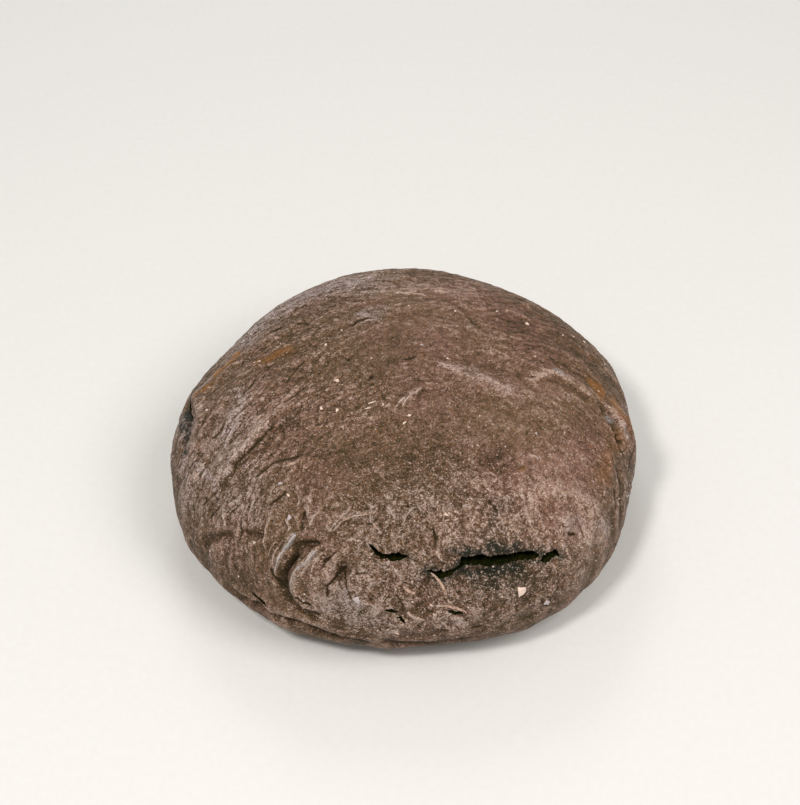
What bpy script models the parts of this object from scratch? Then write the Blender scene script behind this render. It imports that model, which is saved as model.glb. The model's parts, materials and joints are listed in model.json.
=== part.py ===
"""Carob bread loaf: one round, low hearth loaf of dark dough, torn open along its front shoulder.

Metres, +Z up. The origin is the middle of the flat base, and the torn front faces -Y.
A place on the crust is (azimuth, latitude) in degrees: azimuth 0 is +X and turns towards +Y,
latitude 0 is the widest level, 90 is the crown and -90 is the middle of the underside.
"""

import math

import bmesh
import bpy
import numpy as np
from mathutils import Matrix, Vector, noise

MM = 0.001

# Size and outline of the loaf
LOAF_RADIUS = 119.5 * MM
LOAF_HEIGHT = 90 * MM
WIDEST_LEVEL = 30 * MM
DOME_FULLNESS = 2.3  # 2 is an ellipse, more is boxier
SKIRT_FULLNESS = 3.0
SKIRT_REACH = 36 * MM  # how far the rounded lower side would run below the widest level
LOBES = (  # times round, how far out (part of the radius), azimuth of the first lobe
    (1, 0.006, 90),
    (2, 0.0155, 19),
    (3, 0.0187, -31),
    (4, 0.0083, 24),
    (5, 0.0099, 28),
)

# Uneven dough: broad lumps, wrinkles in arcs round the place where the front tore, a rough front
LUMP_SIZE = 46 * MM
LUMP_HEIGHT = 1.6 * MM
FLOW_CENTRE = (-78, 20)
WRINKLE_SPACING = 10 * MM
WRINKLE_TURNS = 1.3
WRINKLE_HEIGHT = 1.1 * MM
WRINKLE_DRIFT = 0.5  # spacings by which the lumps push the wrinkles off their arcs
WRINKLE_LOSS = 0.7  # how much of the wrinkles the roughness takes away
ROUGH_SIZE = 11 * MM
ROUGH_HEIGHT = 2.0 * MM
ROUGH_REACH = (38 * MM, 82 * MM)  # the roughness fades between these distances from the flow centre
ROUGH_FADE = (-18, 12)  # and between these latitudes towards the base
SWAY_SIZE = 11 * MM  # lines and spots sway by this noise, so that none runs straight
SWAY = 2.2 * MM
SWAY_SEED = 1795519717  # unseeded, noise vectors differ from one run to the next
LINE_UNEVENNESS = 0.55  # how much a line's height varies, as part of it
LINE_REACH = 3.0  # half widths from its middle at which a line has died out
LINE_END = 0.3  # part of a line's length over which it rises from its ends
LINE_START = 0.04  # how much of that rise it has at its very end
BASE_FADE = (-62, -30)  # latitudes between which the relief dies out towards the base

# Mesh
BALL_SUBDIVISIONS = 6
FINE_ABOVE = -12  # the crust above this latitude is subdivided once more
FINEST_REACH = 100 * MM  # and once again this near to the flow centre
CRUST_TRIANGLES = 9800
CURVE_STEPS = 4

# Raised and sunken lines in the crust: height, half widths to the left and to the right of the
# line when it is walked with the crust underfoot, all in mm, then the places along it
LINES = {
    "left fold, outer ridge": (
        2.0,
        1.9,
        5.0,
        ((-122.5, 41), (-124, 37.5), (-125, 33), (-125, 28), (-124, 24), (-122, 18)),
    ),
    "left fold, deep groove": (
        -5.2,
        2.7,
        2.9,
        ((-119.5, 37), (-121, 32), (-121.7, 27), (-121.3, 21), (-119.5, 15), (-116, 11)),
    ),
    "left fold, side groove": (-3.2, 2.0, 2.0, ((-122, 34), (-120, 35.5), (-118, 37), (-114, 38.5))),
    "left fold, inner ridge": (
        2.8,
        6.0,
        1.9,
        ((-113, 38), (-115.5, 34.5), (-117.5, 30), (-118.3, 25), (-117.8, 19), (-115.5, 14), (-111, 10)),
    ),
    "left fold, lower groove": (-1.8, 2.0, 1.6, ((-118, 10), (-114, 7), (-110, 5))),
    "seam beside the left fold": (1.0, 1.3, 2.0, ((-110, 27), (-109, 20), (-108.5, 14), (-108, 6))),
    "arched ridge": (
        1.7,
        4.5,
        1.7,
        ((-115.5, 41), (-113.5, 44.5), (-110, 47), (-106, 48), (-102, 47), (-99.5, 44.5)),
    ),
    "winding ridge": (1.5, 2.0, 1.5, ((-131, 52), (-127.5, 48.5), (-123.5, 47.5), (-122, 45), (-120, 41))),
    "side ridge": (1.2, 1.4, 1.8, ((-125, 52), (-124, 50), (-123, 47.5))),
    "left crease, crest": (
        1.5,
        2.4,
        8.0,
        ((-168, 65), (-163, 59.5), (-159, 53), (-156, 47), (-154, 41), (-151, 35)),
    ),
    "left crease, valley": (
        -1.6,
        9.0,
        3.0,
        ((-163, 67), (-157, 60), (-153, 53), (-150, 47), (-148, 41), (-145, 33)),
    ),
    "left shoulder ridge": (1.1, 4.5, 3.0, ((176, 48), (-176, 41), (-170, 34), (-164, 26))),
    "left rim dents": (-2.6, 2.8, 2.2, ((-147, 9), (-143.5, 16), (-141.5, 22), (-138, 25.5))),
    "left rim dents, upper": (-1.9, 2.6, 2.0, ((-138, 29), (-134, 31.5), (-131, 33))),
    "left rim seam": (-4.0, 2.2, 2.2, ((171, 18), (174, 23), (179, 26), (-178, 28), (-174, 26.5), (-169, 22))),
    "left rim seam, lip": (1.5, 5.0, 2.0, ((169, 25), (174, 30), (180, 33), (-174, 32), (-168, 28))),
    "ledge under the tear": (-2.8, 2.0, 3.4, ((-77, 31), (-73, 30), (-67, 28), (-62, 27.5), (-57, 28))),
    "upper lip of the tear": (1.4, 9.0, 3.2, ((-84, 36), (-77, 37), (-70, 36), (-62, 35), (-53, 34))),
    "lower lip of the tear": (0.9, 3.0, 7.0, ((-80, 24), (-73, 23), (-66, 22), (-58, 23))),
    "lip of the second tear": (1.5, 6.0, 2.0, ((-103, 41), (-99, 40.5), (-95, 39.8), (-89, 39.5))),
    "flap under the second tear": (1.2, 1.6, 3.0, ((-101, 35), (-98, 33.4), (-95, 33.2), (-91, 34.4))),
    "hollow by the strip": (-2.2, 3.0, 3.0, ((-86, 29), (-85, 26), (-84, 22))),
    "arched ridge on the right": (
        1.5,
        5.0,
        2.6,
        ((-4, 61), (4, 58), (8, 55), (7, 51), (4, 46), (1, 40), (-1, 35)),
    ),
    "dip behind the crown": (-1.5, 8.0, 5.0, ((28, 78), (14, 70), (7, 65), (3, 61))),
    "crown ridge": (1.2, 3.0, 6.0, ((30, 82), (8, 77.5), (1, 73.5), (-4, 70), (-6, 66))),
    "crown streak": (1.0, 2.0, 1.6, ((-96, 78), (-88, 81), (-72, 84), (-30, 85.5))),
    "far crease": (-0.9, 2.6, 1.6, ((78, 55), (66, 59), (53, 63), (40, 64))),
    "fold by the right bulge": (-3.2, 2.6, 2.0, ((1, 39), (-3.5, 34.5), (-6.5, 30.5), (-9, 27), (-13, 22))),
    "right shoulder crease": (-1.6, 3.0, 2.0, ((-12, 31), (-17, 24), (-21, 17), (-24, 9), (-26, 2))),
    "right rim crease": (-1.2, 2.0, 2.0, ((-27, 20), (-29, 13), (-30, 6))),
    "front crease": (-1.3, 3.0, 2.4, ((-96, 28), (-99, 20), (-101, 13), (-101, 5))),
    "seam under the left front": (
        -3.6,
        2.0,
        3.4,
        ((-139, -11), (-133, -8), (-127, -5), (-121, -4), (-114, -5), (-106, -9), (-97, -14)),
    ),
    "overhang at the left front": (
        2.2,
        5.0,
        2.2,
        ((-138, -2), (-131, 1), (-125, 3), (-118, 3), (-111, 2), (-104, -2), (-96, -6)),
    ),
    "seam under the front": (-1.8, 2.0, 2.6, ((-98, -11), (-90, -12), (-80, -12), (-68, -10))),
}

# Bumps and dimples: height and half width in mm, place
SPOTS = {
    "right bulge": (4.0, 8.5, (-2, 27)),
    "right bulge, lower end": (2.2, 6.0, (-6, 19)),
    "dimple by the fold": (-4.2, 3.4, (-107, 30)),
    "small dimple": (-2.4, 2.8, (-111, 23)),
    "hole under the left rim": (-3.5, 2.8, (-126, 1)),
    "far rim notch": (-2.8, 2.8, (44, 33)),
    "far rim chip": (1.8, 2.8, (46, 42)),
    "far rim dent": (-1.6, 3.2, (52, 37)),
    "blister near the tear": (1.6, 4.5, (-86, 37)),
    "knob left of the tear": (1.4, 3.2, (-87, 33)),
    "pale lump": (1.2, 5.0, (-40, 22)),
    "right lump": (1.2, 5.0, (-33, 30)),
    "right hollow": (-1.5, 9.0, (-28, 38)),
    "middle hollow": (-2.0, 17.0, (-92, 66)),
    "middle hollow, left": (-1.3, 12.0, (-120, 66)),
    "front swelling": (1.6, 16.0, (-76, 8)),
    "left front swelling": (1.8, 12.0, (-113, 22)),
    "shoulder swelling": (1.3, 20.0, (-52, 45)),
}

# Tears through the crust: depth in mm, how far they lean under the crust above in degrees, then
# (azimuth, latitude, opening in mm) along each
TEARS = {
    "main tear": (
        17,
        24,
        (
            (-84.6, 31.8, 0.5),
            (-82.8, 31.0, 1.4),
            (-81.3, 29.8, 3.2),
            (-79.4, 30.6, 2.2),
            (-77.4, 31.6, 1.7),
            (-75.6, 33.4, 3.6),
            (-73.0, 33.0, 4.6),
            (-70.0, 31.6, 4.0),
            (-67.4, 31.2, 4.8),
            (-64.6, 30.2, 4.0),
            (-61.6, 30.6, 4.6),
            (-58.6, 30.0, 3.6),
            (-56.4, 30.2, 3.4),
            (-54.2, 29.2, 0.5),
        ),
    ),
    "short tear": (
        9,
        18,
        ((-54.6, 26.6, 0.6), (-53, 27.2, 3.4), (-51.2, 26.6, 2.8), (-50, 26.6, 1.8), (-48.8, 25.4, 0.5)),
    ),
    "second tear": (
        10,
        26,
        (
            (-100.8, 42.4, 0.5),
            (-99.6, 39.6, 1.6),
            (-98, 37.2, 3.0),
            (-95.4, 36.8, 1.8),
            (-93, 37.3, 2.0),
            (-89.4, 36.6, 0.4),
        ),
    ),
    "upper pore": (5, 10, ((-95.2, 16.8, 0.7), (-93.8, 16, 1.9), (-92.2, 15.2, 0.6))),
    "lower pore": (5, 10, ((-92.4, 12.2, 0.8), (-91, 12, 2.1), (-89.6, 11.8, 0.8))),
    "shade under the flake": (4, 30, ((-80, 14.6, 0.5), (-78, 13.6, 1.6), (-75.8, 12.6, 0.5))),
}
TEAR_NARROWING = 0.35  # opening at the bottom of a tear, as part of its mouth
TEAR_LEAST_DEPTH = 0.35  # depth of a tear where it is shut, as part of its full depth
TEAR_DEPTH_GAIN = 0.3  # and how much of it each mm of opening adds
TEAR_RUN_OUT = 9 * MM  # how far a cutter stands out of the crust

# Flakes and chips fused to the crust: width and thickness in mm, places along the middle
FLAKES = {
    "curled strip": (1.9, 1.6, ((-84.4, 30.4), (-83.2, 28.6), (-81.9, 26.4), (-81.2, 24), (-80.4, 21.5))),
    "raised flake": (2.2, 1.4, ((-85, 21.5), (-82, 19.3), (-79, 17.2), (-76, 15.4))),
    "pale curl": (1.8, 1.3, ((-90.3, 27), (-89, 25.4), (-87.7, 23.7))),
    "pale chip": (4.4, 1.5, ((-62.8, 19.3), (-61.8, 17.6), (-61.2, 16.2))),
}
FLAKE_SINK = 0.9 * MM  # how deep a flake's edge lies in the crust
FLAKE_END_WIDTH = 0.35  # width of a flake at its ends, as part of its middle
FLAKE_END_THICKNESS = 0.4

CRUST_COLOUR = (0.168, 0.112, 0.084, 1.0)
CRUST_ROUGHNESS = 0.88
SHARP_ANGLE = 50  # edges that turn more than this, in degrees, show as sharp


def smoothstep(low, high, value):
    share = np.clip((value - low) / (high - low), 0.0, 1.0)
    return share * share * (3.0 - 2.0 * share)


def outline_radius(azimuth):
    """Plan radius of the loaf at its widest level, for an array of azimuths in radians."""
    share = np.ones_like(azimuth)
    for times, reach, first in LOBES:
        share = share + reach * np.cos(times * (azimuth - math.radians(first)))
    return LOAF_RADIUS * share


def smooth_form(directions):
    """Points of the smooth loaf in the given directions, an array of unit vectors."""
    x, y, z = directions.T
    flat = np.hypot(x, y)
    dome = z >= 0
    fullness = np.where(dome, DOME_FULLNESS, SKIRT_FULLNESS)
    rise = np.where(dome, LOAF_HEIGHT - WIDEST_LEVEL, SKIRT_REACH)
    scale = (flat**fullness + np.abs(z) ** fullness) ** (-1.0 / fullness)
    out = outline_radius(np.arctan2(y, x)) * scale
    return np.stack([out * x, out * y, WIDEST_LEVEL + rise * scale * z], axis=1)


def outward(directions, step=1e-3):
    """Unit normals of the smooth loaf, from two short steps along the surface."""
    up = np.array([0.0, 0.0, 1.0])
    side = np.cross(up, directions)
    side /= np.maximum(np.linalg.norm(side, axis=1, keepdims=True), 1e-9)
    rise = np.cross(directions, side)
    here = smooth_form(directions)
    across = smooth_form(unit(directions + step * side)) - here
    upward = smooth_form(unit(directions + step * rise)) - here
    return unit(np.cross(across, upward))


def unit(vectors):
    return vectors / np.maximum(np.linalg.norm(vectors, axis=1, keepdims=True), 1e-12)


def direction(azimuth, latitude):
    turn, tilt = math.radians(azimuth), math.radians(latitude)
    return (math.cos(tilt) * math.cos(turn), math.cos(tilt) * math.sin(turn), math.sin(tilt))


def on_crust(places):
    """Points and normals of the smooth loaf at (azimuth, latitude) places."""
    directions = np.array([direction(*place[:2]) for place in places])
    return smooth_form(directions), outward(directions)


def curve_through(places):
    """The places with extra ones between them, along a smooth curve."""
    dense = []
    knots = [places[0], *places, places[-1]]
    for before, start, end, after in zip(knots, knots[1:], knots[2:], knots[3:]):
        for step in range(CURVE_STEPS):
            share = step / CURVE_STEPS
            dense.append(blend_knots(before, start, end, after, share))
    dense.append(places[-1])
    return dense


def blend_knots(before, start, end, after, share):
    """Catmull-Rom point between start and end. Azimuths may pass 180, so they are unwrapped first."""
    turns = np.unwrap([before[0], start[0], end[0], after[0]], period=360)
    tilts = np.array([before[1], start[1], end[1], after[1]])
    weights = 0.5 * np.array(
        [
            -share + 2 * share**2 - share**3,
            2 - 5 * share**2 + 3 * share**3,
            share + 4 * share**2 - 3 * share**3,
            share**3 - share**2,
        ]
    )
    return (float(weights @ turns), float(weights @ tilts))


def noise_at(points, size, layer=0.0):
    """Smooth noise, about -1 to 1, of the given grain size at each point."""
    shift = np.array([3.1, 7.4, 1.9]) + 17.3 * layer
    return np.array([noise.noise(place) for place in (points / size + shift).tolist()])


def swayed(points):
    """The points moved a little by noise, so that what is measured from them wanders."""
    sway = [noise.noise_vector(place) for place in (points / SWAY_SIZE).tolist()]
    return points + SWAY * np.array(sway)


def distance_to_line(points, line, normals):
    """For each point its distance to a polyline, its share along it, and whether it lies to the left."""
    nearest = np.full(len(points), np.inf)
    along = np.zeros(len(points))
    to_left = np.zeros(len(points), dtype=bool)
    spans = len(line) - 1
    for index in range(spans):
        start = line[index]
        span = line[index + 1] - start
        offset = points - start
        share = np.clip(offset @ span / (span @ span), 0.0, 1.0)
        distance = np.linalg.norm(offset - share[:, None] * span, axis=1)
        closer = distance < nearest
        nearest[closer] = distance[closer]
        along[closer] = (index + share[closer]) / spans
        to_left[closer] = (offset @ np.cross(normals[index], span) > 0)[closer]
    return nearest, along, to_left


def add_lines(height, points):
    strength = 1.0 + LINE_UNEVENNESS * noise_at(points, 0.8 * SWAY_SIZE, 1)
    for rise, left, right, places in LINES.values():
        line, normals = on_crust(curve_through(places))
        reach = LINE_REACH * MM * max(left, right)
        near = np.all((points > line.min(axis=0) - reach) & (points < line.max(axis=0) + reach), axis=1)
        distance, along, to_left = distance_to_line(points[near], line, normals)
        half_width = MM * np.where(to_left, left, right)
        fade = smoothstep(0.0, LINE_END, np.minimum(along, 1.0 - along) + LINE_START)
        height[near] += rise * MM * strength[near] * fade * np.exp(-((distance / half_width) ** 2))


def add_spots(height, points):
    for rise, half_width, place in SPOTS.values():
        centre = on_crust([place])[0][0]
        distance = np.linalg.norm(points - centre, axis=1)
        height += rise * MM * np.exp(-((distance / (half_width * MM)) ** 2))


def flow_coordinates(points):
    """Distance from the flow centre and the turn round it, so that wrinkles run in arcs."""
    centre, normal = (array[0] for array in on_crust([FLOW_CENTRE]))
    side = np.cross((0.0, 0.0, 1.0), normal)
    side /= np.linalg.norm(side)
    rise = np.cross(normal, side)
    offset = points - centre
    return np.linalg.norm(offset, axis=1), np.arctan2(offset @ rise, offset @ side)


def add_uneven_dough(height, points, latitudes):
    lumps = noise_at(points, LUMP_SIZE)
    distance, turn = flow_coordinates(points)
    arcs = np.stack(
        [
            distance / WRINKLE_SPACING + WRINKLE_DRIFT * lumps,
            WRINKLE_TURNS * np.cos(turn),
            WRINKLE_TURNS * np.sin(turn),
        ],
        axis=1,
    )
    rough = (1.0 - smoothstep(*ROUGH_REACH, distance)) * smoothstep(*ROUGH_FADE, latitudes)
    height += LUMP_HEIGHT * lumps
    height += WRINKLE_HEIGHT * noise_at(arcs, 1.0, 2) * (1.0 - WRINKLE_LOSS * rough)
    height += ROUGH_HEIGHT * rough * noise_at(points, ROUGH_SIZE, 3)


def crust_height(points, latitudes):
    """How far the crust stands out from the smooth loaf at each point, in metres."""
    height = np.zeros(len(points))
    add_uneven_dough(height, points, latitudes)
    wandering = swayed(points)
    add_spots(height, wandering)
    add_lines(height, wandering)
    return height * smoothstep(*BASE_FADE, latitudes)


def ball_mesh():
    """A ball of triangles as a bmesh, finer above the skirt and finest where the front is torn."""
    bm = bmesh.new()
    bmesh.ops.create_icosphere(bm, subdivisions=BALL_SUBDIVISIONS, radius=1.0)
    lowest = math.sin(math.radians(FINE_ABOVE))
    split_edges(bm, lambda ends: ends[:, 2].max() > lowest)
    torn = np.array(direction(*FLOW_CENTRE))
    split_edges(bm, lambda ends: np.linalg.norm(ends - torn, axis=1).min() < FINEST_REACH / LOAF_RADIUS)
    return bm


def split_edges(bm, wanted):
    """Halves every edge whose two ends the test wants, and keeps the mesh in triangles."""
    edges = [edge for edge in bm.edges if wanted(np.array([vert.co for vert in edge.verts]))]
    bmesh.ops.subdivide_edges(bm, edges=edges, cuts=1, use_grid_fill=True)
    bmesh.ops.triangulate(bm, faces=bm.faces)


def shape_crust(bm):
    directions = unit(np.array([vert.co for vert in bm.verts]))
    latitudes = np.degrees(np.arcsin(np.clip(directions[:, 2], -1.0, 1.0)))
    points = smooth_form(directions)
    points += outward(directions) * crust_height(points, latitudes)[:, None]
    for vert, point in zip(bm.verts, points):
        vert.co = point


def cut_flat_base(bm):
    everything = bm.verts[:] + bm.edges[:] + bm.faces[:]
    bmesh.ops.bisect_plane(bm, geom=everything, plane_co=(0, 0, 0), plane_no=(0, 0, -1), clear_outer=True)
    rim = [edge for edge in bm.edges if edge.is_boundary]
    bmesh.ops.contextual_create(bm, geom=rim)
    for vert in {vert for edge in rim if edge.is_valid for vert in edge.verts}:
        vert.co.z = 0.0
    bmesh.ops.recalc_face_normals(bm, faces=bm.faces)


def object_from(bm, name):
    mesh = bpy.data.meshes.new(name)
    bm.to_mesh(mesh)
    bm.free()
    obj = bpy.data.objects.new(name, mesh)
    bpy.context.collection.objects.link(obj)
    return obj


def apply_modifiers(obj):
    """Gives the object the mesh that its modifiers make, and removes them."""
    graph = bpy.context.evaluated_depsgraph_get()
    finished = bpy.data.meshes.new_from_object(obj.evaluated_get(graph))
    rough = obj.data
    obj.modifiers.clear()
    obj.data = finished
    bpy.data.meshes.remove(rough)


def thin_mesh(obj):
    """Fewer triangles where the crust is even, more where it folds."""
    thin = obj.modifiers.new("Thin", "DECIMATE")
    thin.ratio = CRUST_TRIANGLES / len(obj.data.polygons)
    apply_modifiers(obj)


def make_loaf():
    bm = ball_mesh()
    shape_crust(bm)
    loaf = object_from(bm, "loaf")
    thin_mesh(loaf)
    bm = bmesh.new()
    bm.from_mesh(loaf.data)
    cut_flat_base(bm)
    bm.to_mesh(loaf.data)
    bm.free()
    return loaf


def ring_of(bm, corners):
    """A closed loop of edges through the corners."""
    verts = [bm.verts.new(corner) for corner in corners]
    return [bm.edges.new(pair) for pair in zip(verts, verts[1:] + verts[:1])]


def loft(rings):
    """A closed bmesh skinned over the rings, with a face at each end."""
    bm = bmesh.new()
    loops = [ring_of(bm, corners) for corners in rings]
    for first, second in zip(loops, loops[1:]):
        bmesh.ops.bridge_loops(bm, edges=first + second)
    for end in (loops[0], loops[-1]):
        bmesh.ops.contextual_create(bm, geom=end)
    bmesh.ops.recalc_face_normals(bm, faces=bm.faces)
    return bm


def frame_along(places):
    """Points on the crust with the directions across the line and out of the crust."""
    points, normals = on_crust(places)
    ahead = unit(np.gradient(points, axis=0))
    across = unit(np.cross(ahead, normals))
    across *= np.where(across[:, 2:] < 0, -1.0, 1.0)
    return points, across, normals


def tear_cutter(name, depth, undercut, places):
    """A wedge along the tear. It leans so that the crust above overhangs the opening."""
    points, across, normals = frame_along(places)
    lean = math.radians(undercut)
    rings = []
    for (_, _, opening), point, up, normal in zip(places, points, across, normals):
        inward = math.sin(lean) * up - math.cos(lean) * normal
        half = 0.5 * opening * MM * up
        floor = point + depth * MM * min(1.0, TEAR_LEAST_DEPTH + TEAR_DEPTH_GAIN * opening) * inward
        outside = point - TEAR_RUN_OUT * inward
        tip = TEAR_NARROWING * half
        rings.append([outside + half, point + half, floor + tip, floor - tip, point - half, outside - half])
    return object_from(loft(rings), name)


def crust_surface(loaf):
    """Finds the real crust under a point of the smooth loaf, by a ray from outside."""

    def land(point, normal):
        start = Vector(point + normal * TEAR_RUN_OUT)
        found, place, _, _ = loaf.ray_cast(start, Vector(-normal))
        return np.array(place) if found else point

    return land


def flake(name, width, thickness, places, land):
    """A thin bent flake that follows the crust, narrow at both ends."""
    points, across, normals = frame_along(curve_through(places))
    rings = []
    for index, (point, up, normal) in enumerate(zip(points, across, normals)):
        swell = math.sin(math.pi * (index + 0.6) / (len(points) + 0.2))
        half = 0.5 * width * MM * (FLAKE_END_WIDTH + (1 - FLAKE_END_WIDTH) * swell) * up
        middle = land(point, normal)
        top = middle + thickness * MM * (FLAKE_END_THICKNESS + (1 - FLAKE_END_THICKNESS) * swell) * normal
        sunk = middle - FLAKE_SINK * normal
        rings.append([sunk + half, top + 0.5 * half, top - 0.5 * half, sunk - half])
    return object_from(loft(rings), name)


def collection_of(name, objects):
    """A new collection in the scene that holds the objects and nothing else."""
    collection = bpy.data.collections.new(name)
    bpy.context.scene.collection.children.link(collection)
    for obj in objects:
        bpy.context.collection.objects.unlink(obj)
        collection.objects.link(obj)
    return collection


def combine(loaf, collection, operation):
    """One Boolean with the whole collection, applied, after which its objects are removed."""
    boolean = loaf.modifiers.new(collection.name, "BOOLEAN")
    boolean.operation = operation
    boolean.operand_type = "COLLECTION"
    boolean.collection = collection
    boolean.solver = "EXACT"
    bpy.context.view_layer.update()
    apply_modifiers(loaf)
    for obj in list(collection.objects):
        bpy.data.objects.remove(obj)
    bpy.data.collections.remove(collection)


def drop_scraps(loaf):
    """Keeps the one body with the most faces, and drops crumbs that a cut left loose."""
    bm = bmesh.new()
    bm.from_mesh(loaf.data)
    left = set(bm.faces)
    bodies = []
    while left:
        body = set()
        reached = [next(iter(left))]
        while reached:
            face = reached.pop()
            if face in body:
                continue
            body.add(face)
            reached += [near for edge in face.edges for near in edge.link_faces if near not in body]
        left -= body
        bodies.append(body)
    scraps = [face for body in sorted(bodies, key=len)[:-1] for face in body]
    bmesh.ops.delete(bm, geom=scraps, context="FACES")
    bm.to_mesh(loaf.data)
    bm.free()


def centre_over_origin(loaf):
    """Moves the mesh in plan so that the origin lies under the middle of its box."""
    corners = np.array([vert.co for vert in loaf.data.vertices])
    middle = (corners.min(axis=0) + corners.max(axis=0)) / 2
    loaf.data.transform(Matrix.Translation((-middle[0], -middle[1], 0.0)))


def crust_material():
    material = bpy.data.materials.new("floured dark crust")
    material.use_nodes = True
    shader = material.node_tree.nodes["Principled BSDF"]
    shader.inputs["Base Color"].default_value = CRUST_COLOUR
    shader.inputs["Roughness"].default_value = CRUST_ROUGHNESS
    shader.inputs["Metallic"].default_value = 0.0
    return material


def main():
    noise.seed_set(SWAY_SEED)
    for obj in list(bpy.data.objects):
        bpy.data.objects.remove(obj)
    loaf = make_loaf()
    bpy.context.view_layer.update()
    land = crust_surface(loaf)
    flakes = [flake(name, *shape, land) for name, shape in FLAKES.items()]
    cutters = [tear_cutter(name, *shape) for name, shape in TEARS.items()]
    combine(loaf, collection_of("Tears", cutters), "DIFFERENCE")
    combine(loaf, collection_of("Flakes", flakes), "UNION")
    drop_scraps(loaf)
    centre_over_origin(loaf)
    loaf.data.materials.clear()
    loaf.data.materials.append(crust_material())
    loaf.data.shade_smooth()
    loaf.data.set_sharp_from_angle(angle=math.radians(SHARP_ANGLE))


main()
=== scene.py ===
"""Carob bread loaf: the looks of one round, low hearth loaf of dark dough, torn open along its front.

Metres, +Z up. The origin is the middle of the flat base, and the torn front faces -Y.
A place on the crust is (azimuth, latitude) in degrees: azimuth 0 is +X and turns towards +Y,
latitude 0 is the widest level, 90 is the crown and -90 is the middle of the underside.
"""

import json
import math

import bmesh
import bpy
import numpy as np
from bpy.props import FloatProperty, FloatVectorProperty, PointerProperty
from bpy.types import Operator, Panel, PropertyGroup
from mathutils import Matrix, Vector, noise

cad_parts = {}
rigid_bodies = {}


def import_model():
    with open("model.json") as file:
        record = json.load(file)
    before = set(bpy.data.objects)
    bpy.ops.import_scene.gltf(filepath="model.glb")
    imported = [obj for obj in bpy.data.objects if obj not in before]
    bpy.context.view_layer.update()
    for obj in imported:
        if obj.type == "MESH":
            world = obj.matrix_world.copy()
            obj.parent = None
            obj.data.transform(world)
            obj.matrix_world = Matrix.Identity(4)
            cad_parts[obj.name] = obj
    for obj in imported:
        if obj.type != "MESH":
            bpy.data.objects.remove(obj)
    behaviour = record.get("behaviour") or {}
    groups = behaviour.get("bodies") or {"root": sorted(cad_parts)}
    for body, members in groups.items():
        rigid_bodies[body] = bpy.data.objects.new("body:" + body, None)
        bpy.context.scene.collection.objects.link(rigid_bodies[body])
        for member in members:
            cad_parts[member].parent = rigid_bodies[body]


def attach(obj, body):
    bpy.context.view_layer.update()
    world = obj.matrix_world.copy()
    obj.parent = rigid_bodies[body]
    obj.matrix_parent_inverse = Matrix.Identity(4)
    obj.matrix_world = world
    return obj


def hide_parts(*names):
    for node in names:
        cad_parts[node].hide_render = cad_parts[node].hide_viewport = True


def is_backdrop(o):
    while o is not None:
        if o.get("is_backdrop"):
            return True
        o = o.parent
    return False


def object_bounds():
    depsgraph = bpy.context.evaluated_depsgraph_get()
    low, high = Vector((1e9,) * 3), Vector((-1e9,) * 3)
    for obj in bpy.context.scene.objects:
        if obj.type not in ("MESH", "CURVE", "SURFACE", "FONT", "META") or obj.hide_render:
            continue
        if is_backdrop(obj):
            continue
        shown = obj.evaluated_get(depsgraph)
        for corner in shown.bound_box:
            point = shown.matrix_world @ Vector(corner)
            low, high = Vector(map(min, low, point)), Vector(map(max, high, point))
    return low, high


bl_info = {
    "name": "Carob bread loaf",
    "version": (1, 0, 0),
    "blender": (4, 5, 0),
    "location": "View3D > Sidebar > Loaf",
    "description": "Bakes the crust of a round dark loaf around its packed solid, and sets its stage",
    "category": "Object",
}

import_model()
SOLID_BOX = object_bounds()

MM = 0.001

# ---------------------------------------------------------------- form, as in the solid

LOAF_RADIUS = 119.5 * MM
LOAF_HEIGHT = 90 * MM
WIDEST_LEVEL = 30 * MM
DOME_FULLNESS = 2.3  # 2 is an ellipse, more is boxier
SKIRT_FULLNESS = 3.0
SKIRT_REACH = 36 * MM  # how far the rounded lower side would run below the widest level
LOBES = (  # times round, how far out (part of the radius), azimuth of the first lobe
    (1, 0.006, 90),
    (2, 0.0155, 19),
    (3, 0.0187, -31),
    (4, 0.0083, 24),
    (5, 0.0099, 28),
)

LUMP_SIZE = 46 * MM
LUMP_HEIGHT = 1.6 * MM
FLOW_CENTRE = (-78, 20)  # the skin's wrinkles run in arcs round this place
WRINKLE_SPACING = 10 * MM
WRINKLE_TURNS = 1.3
WRINKLE_HEIGHT = 1.1 * MM
WRINKLE_DRIFT = 0.5  # spacings by which the lumps push the wrinkles off their arcs
WRINKLE_LOSS = 0.7  # how much of the wrinkles the roughness takes away
ROUGH_SIZE = 11 * MM
ROUGH_HEIGHT = 2.0 * MM
ROUGH_REACH = (38 * MM, 82 * MM)  # the roughness fades between these distances from the flow centre
ROUGH_FADE = (-18, 12)  # and between these latitudes towards the base
SWAY_SIZE = 11 * MM  # lines and spots sway by this noise, so that none runs straight
SWAY = 2.2 * MM
SWAY_SEED = 1795519717  # unseeded, noise vectors differ from one run to the next
LINE_UNEVENNESS = 0.55  # how much a line's height varies, as part of it
LINE_REACH = 3.0  # half widths from its middle at which a line has died out
LINE_END = 0.3  # part of a line's length over which it rises from its ends
LINE_START = 0.04  # how much of that rise it has at its very end
BASE_FADE = (-62, -30)  # latitudes between which the relief dies out towards the base

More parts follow.
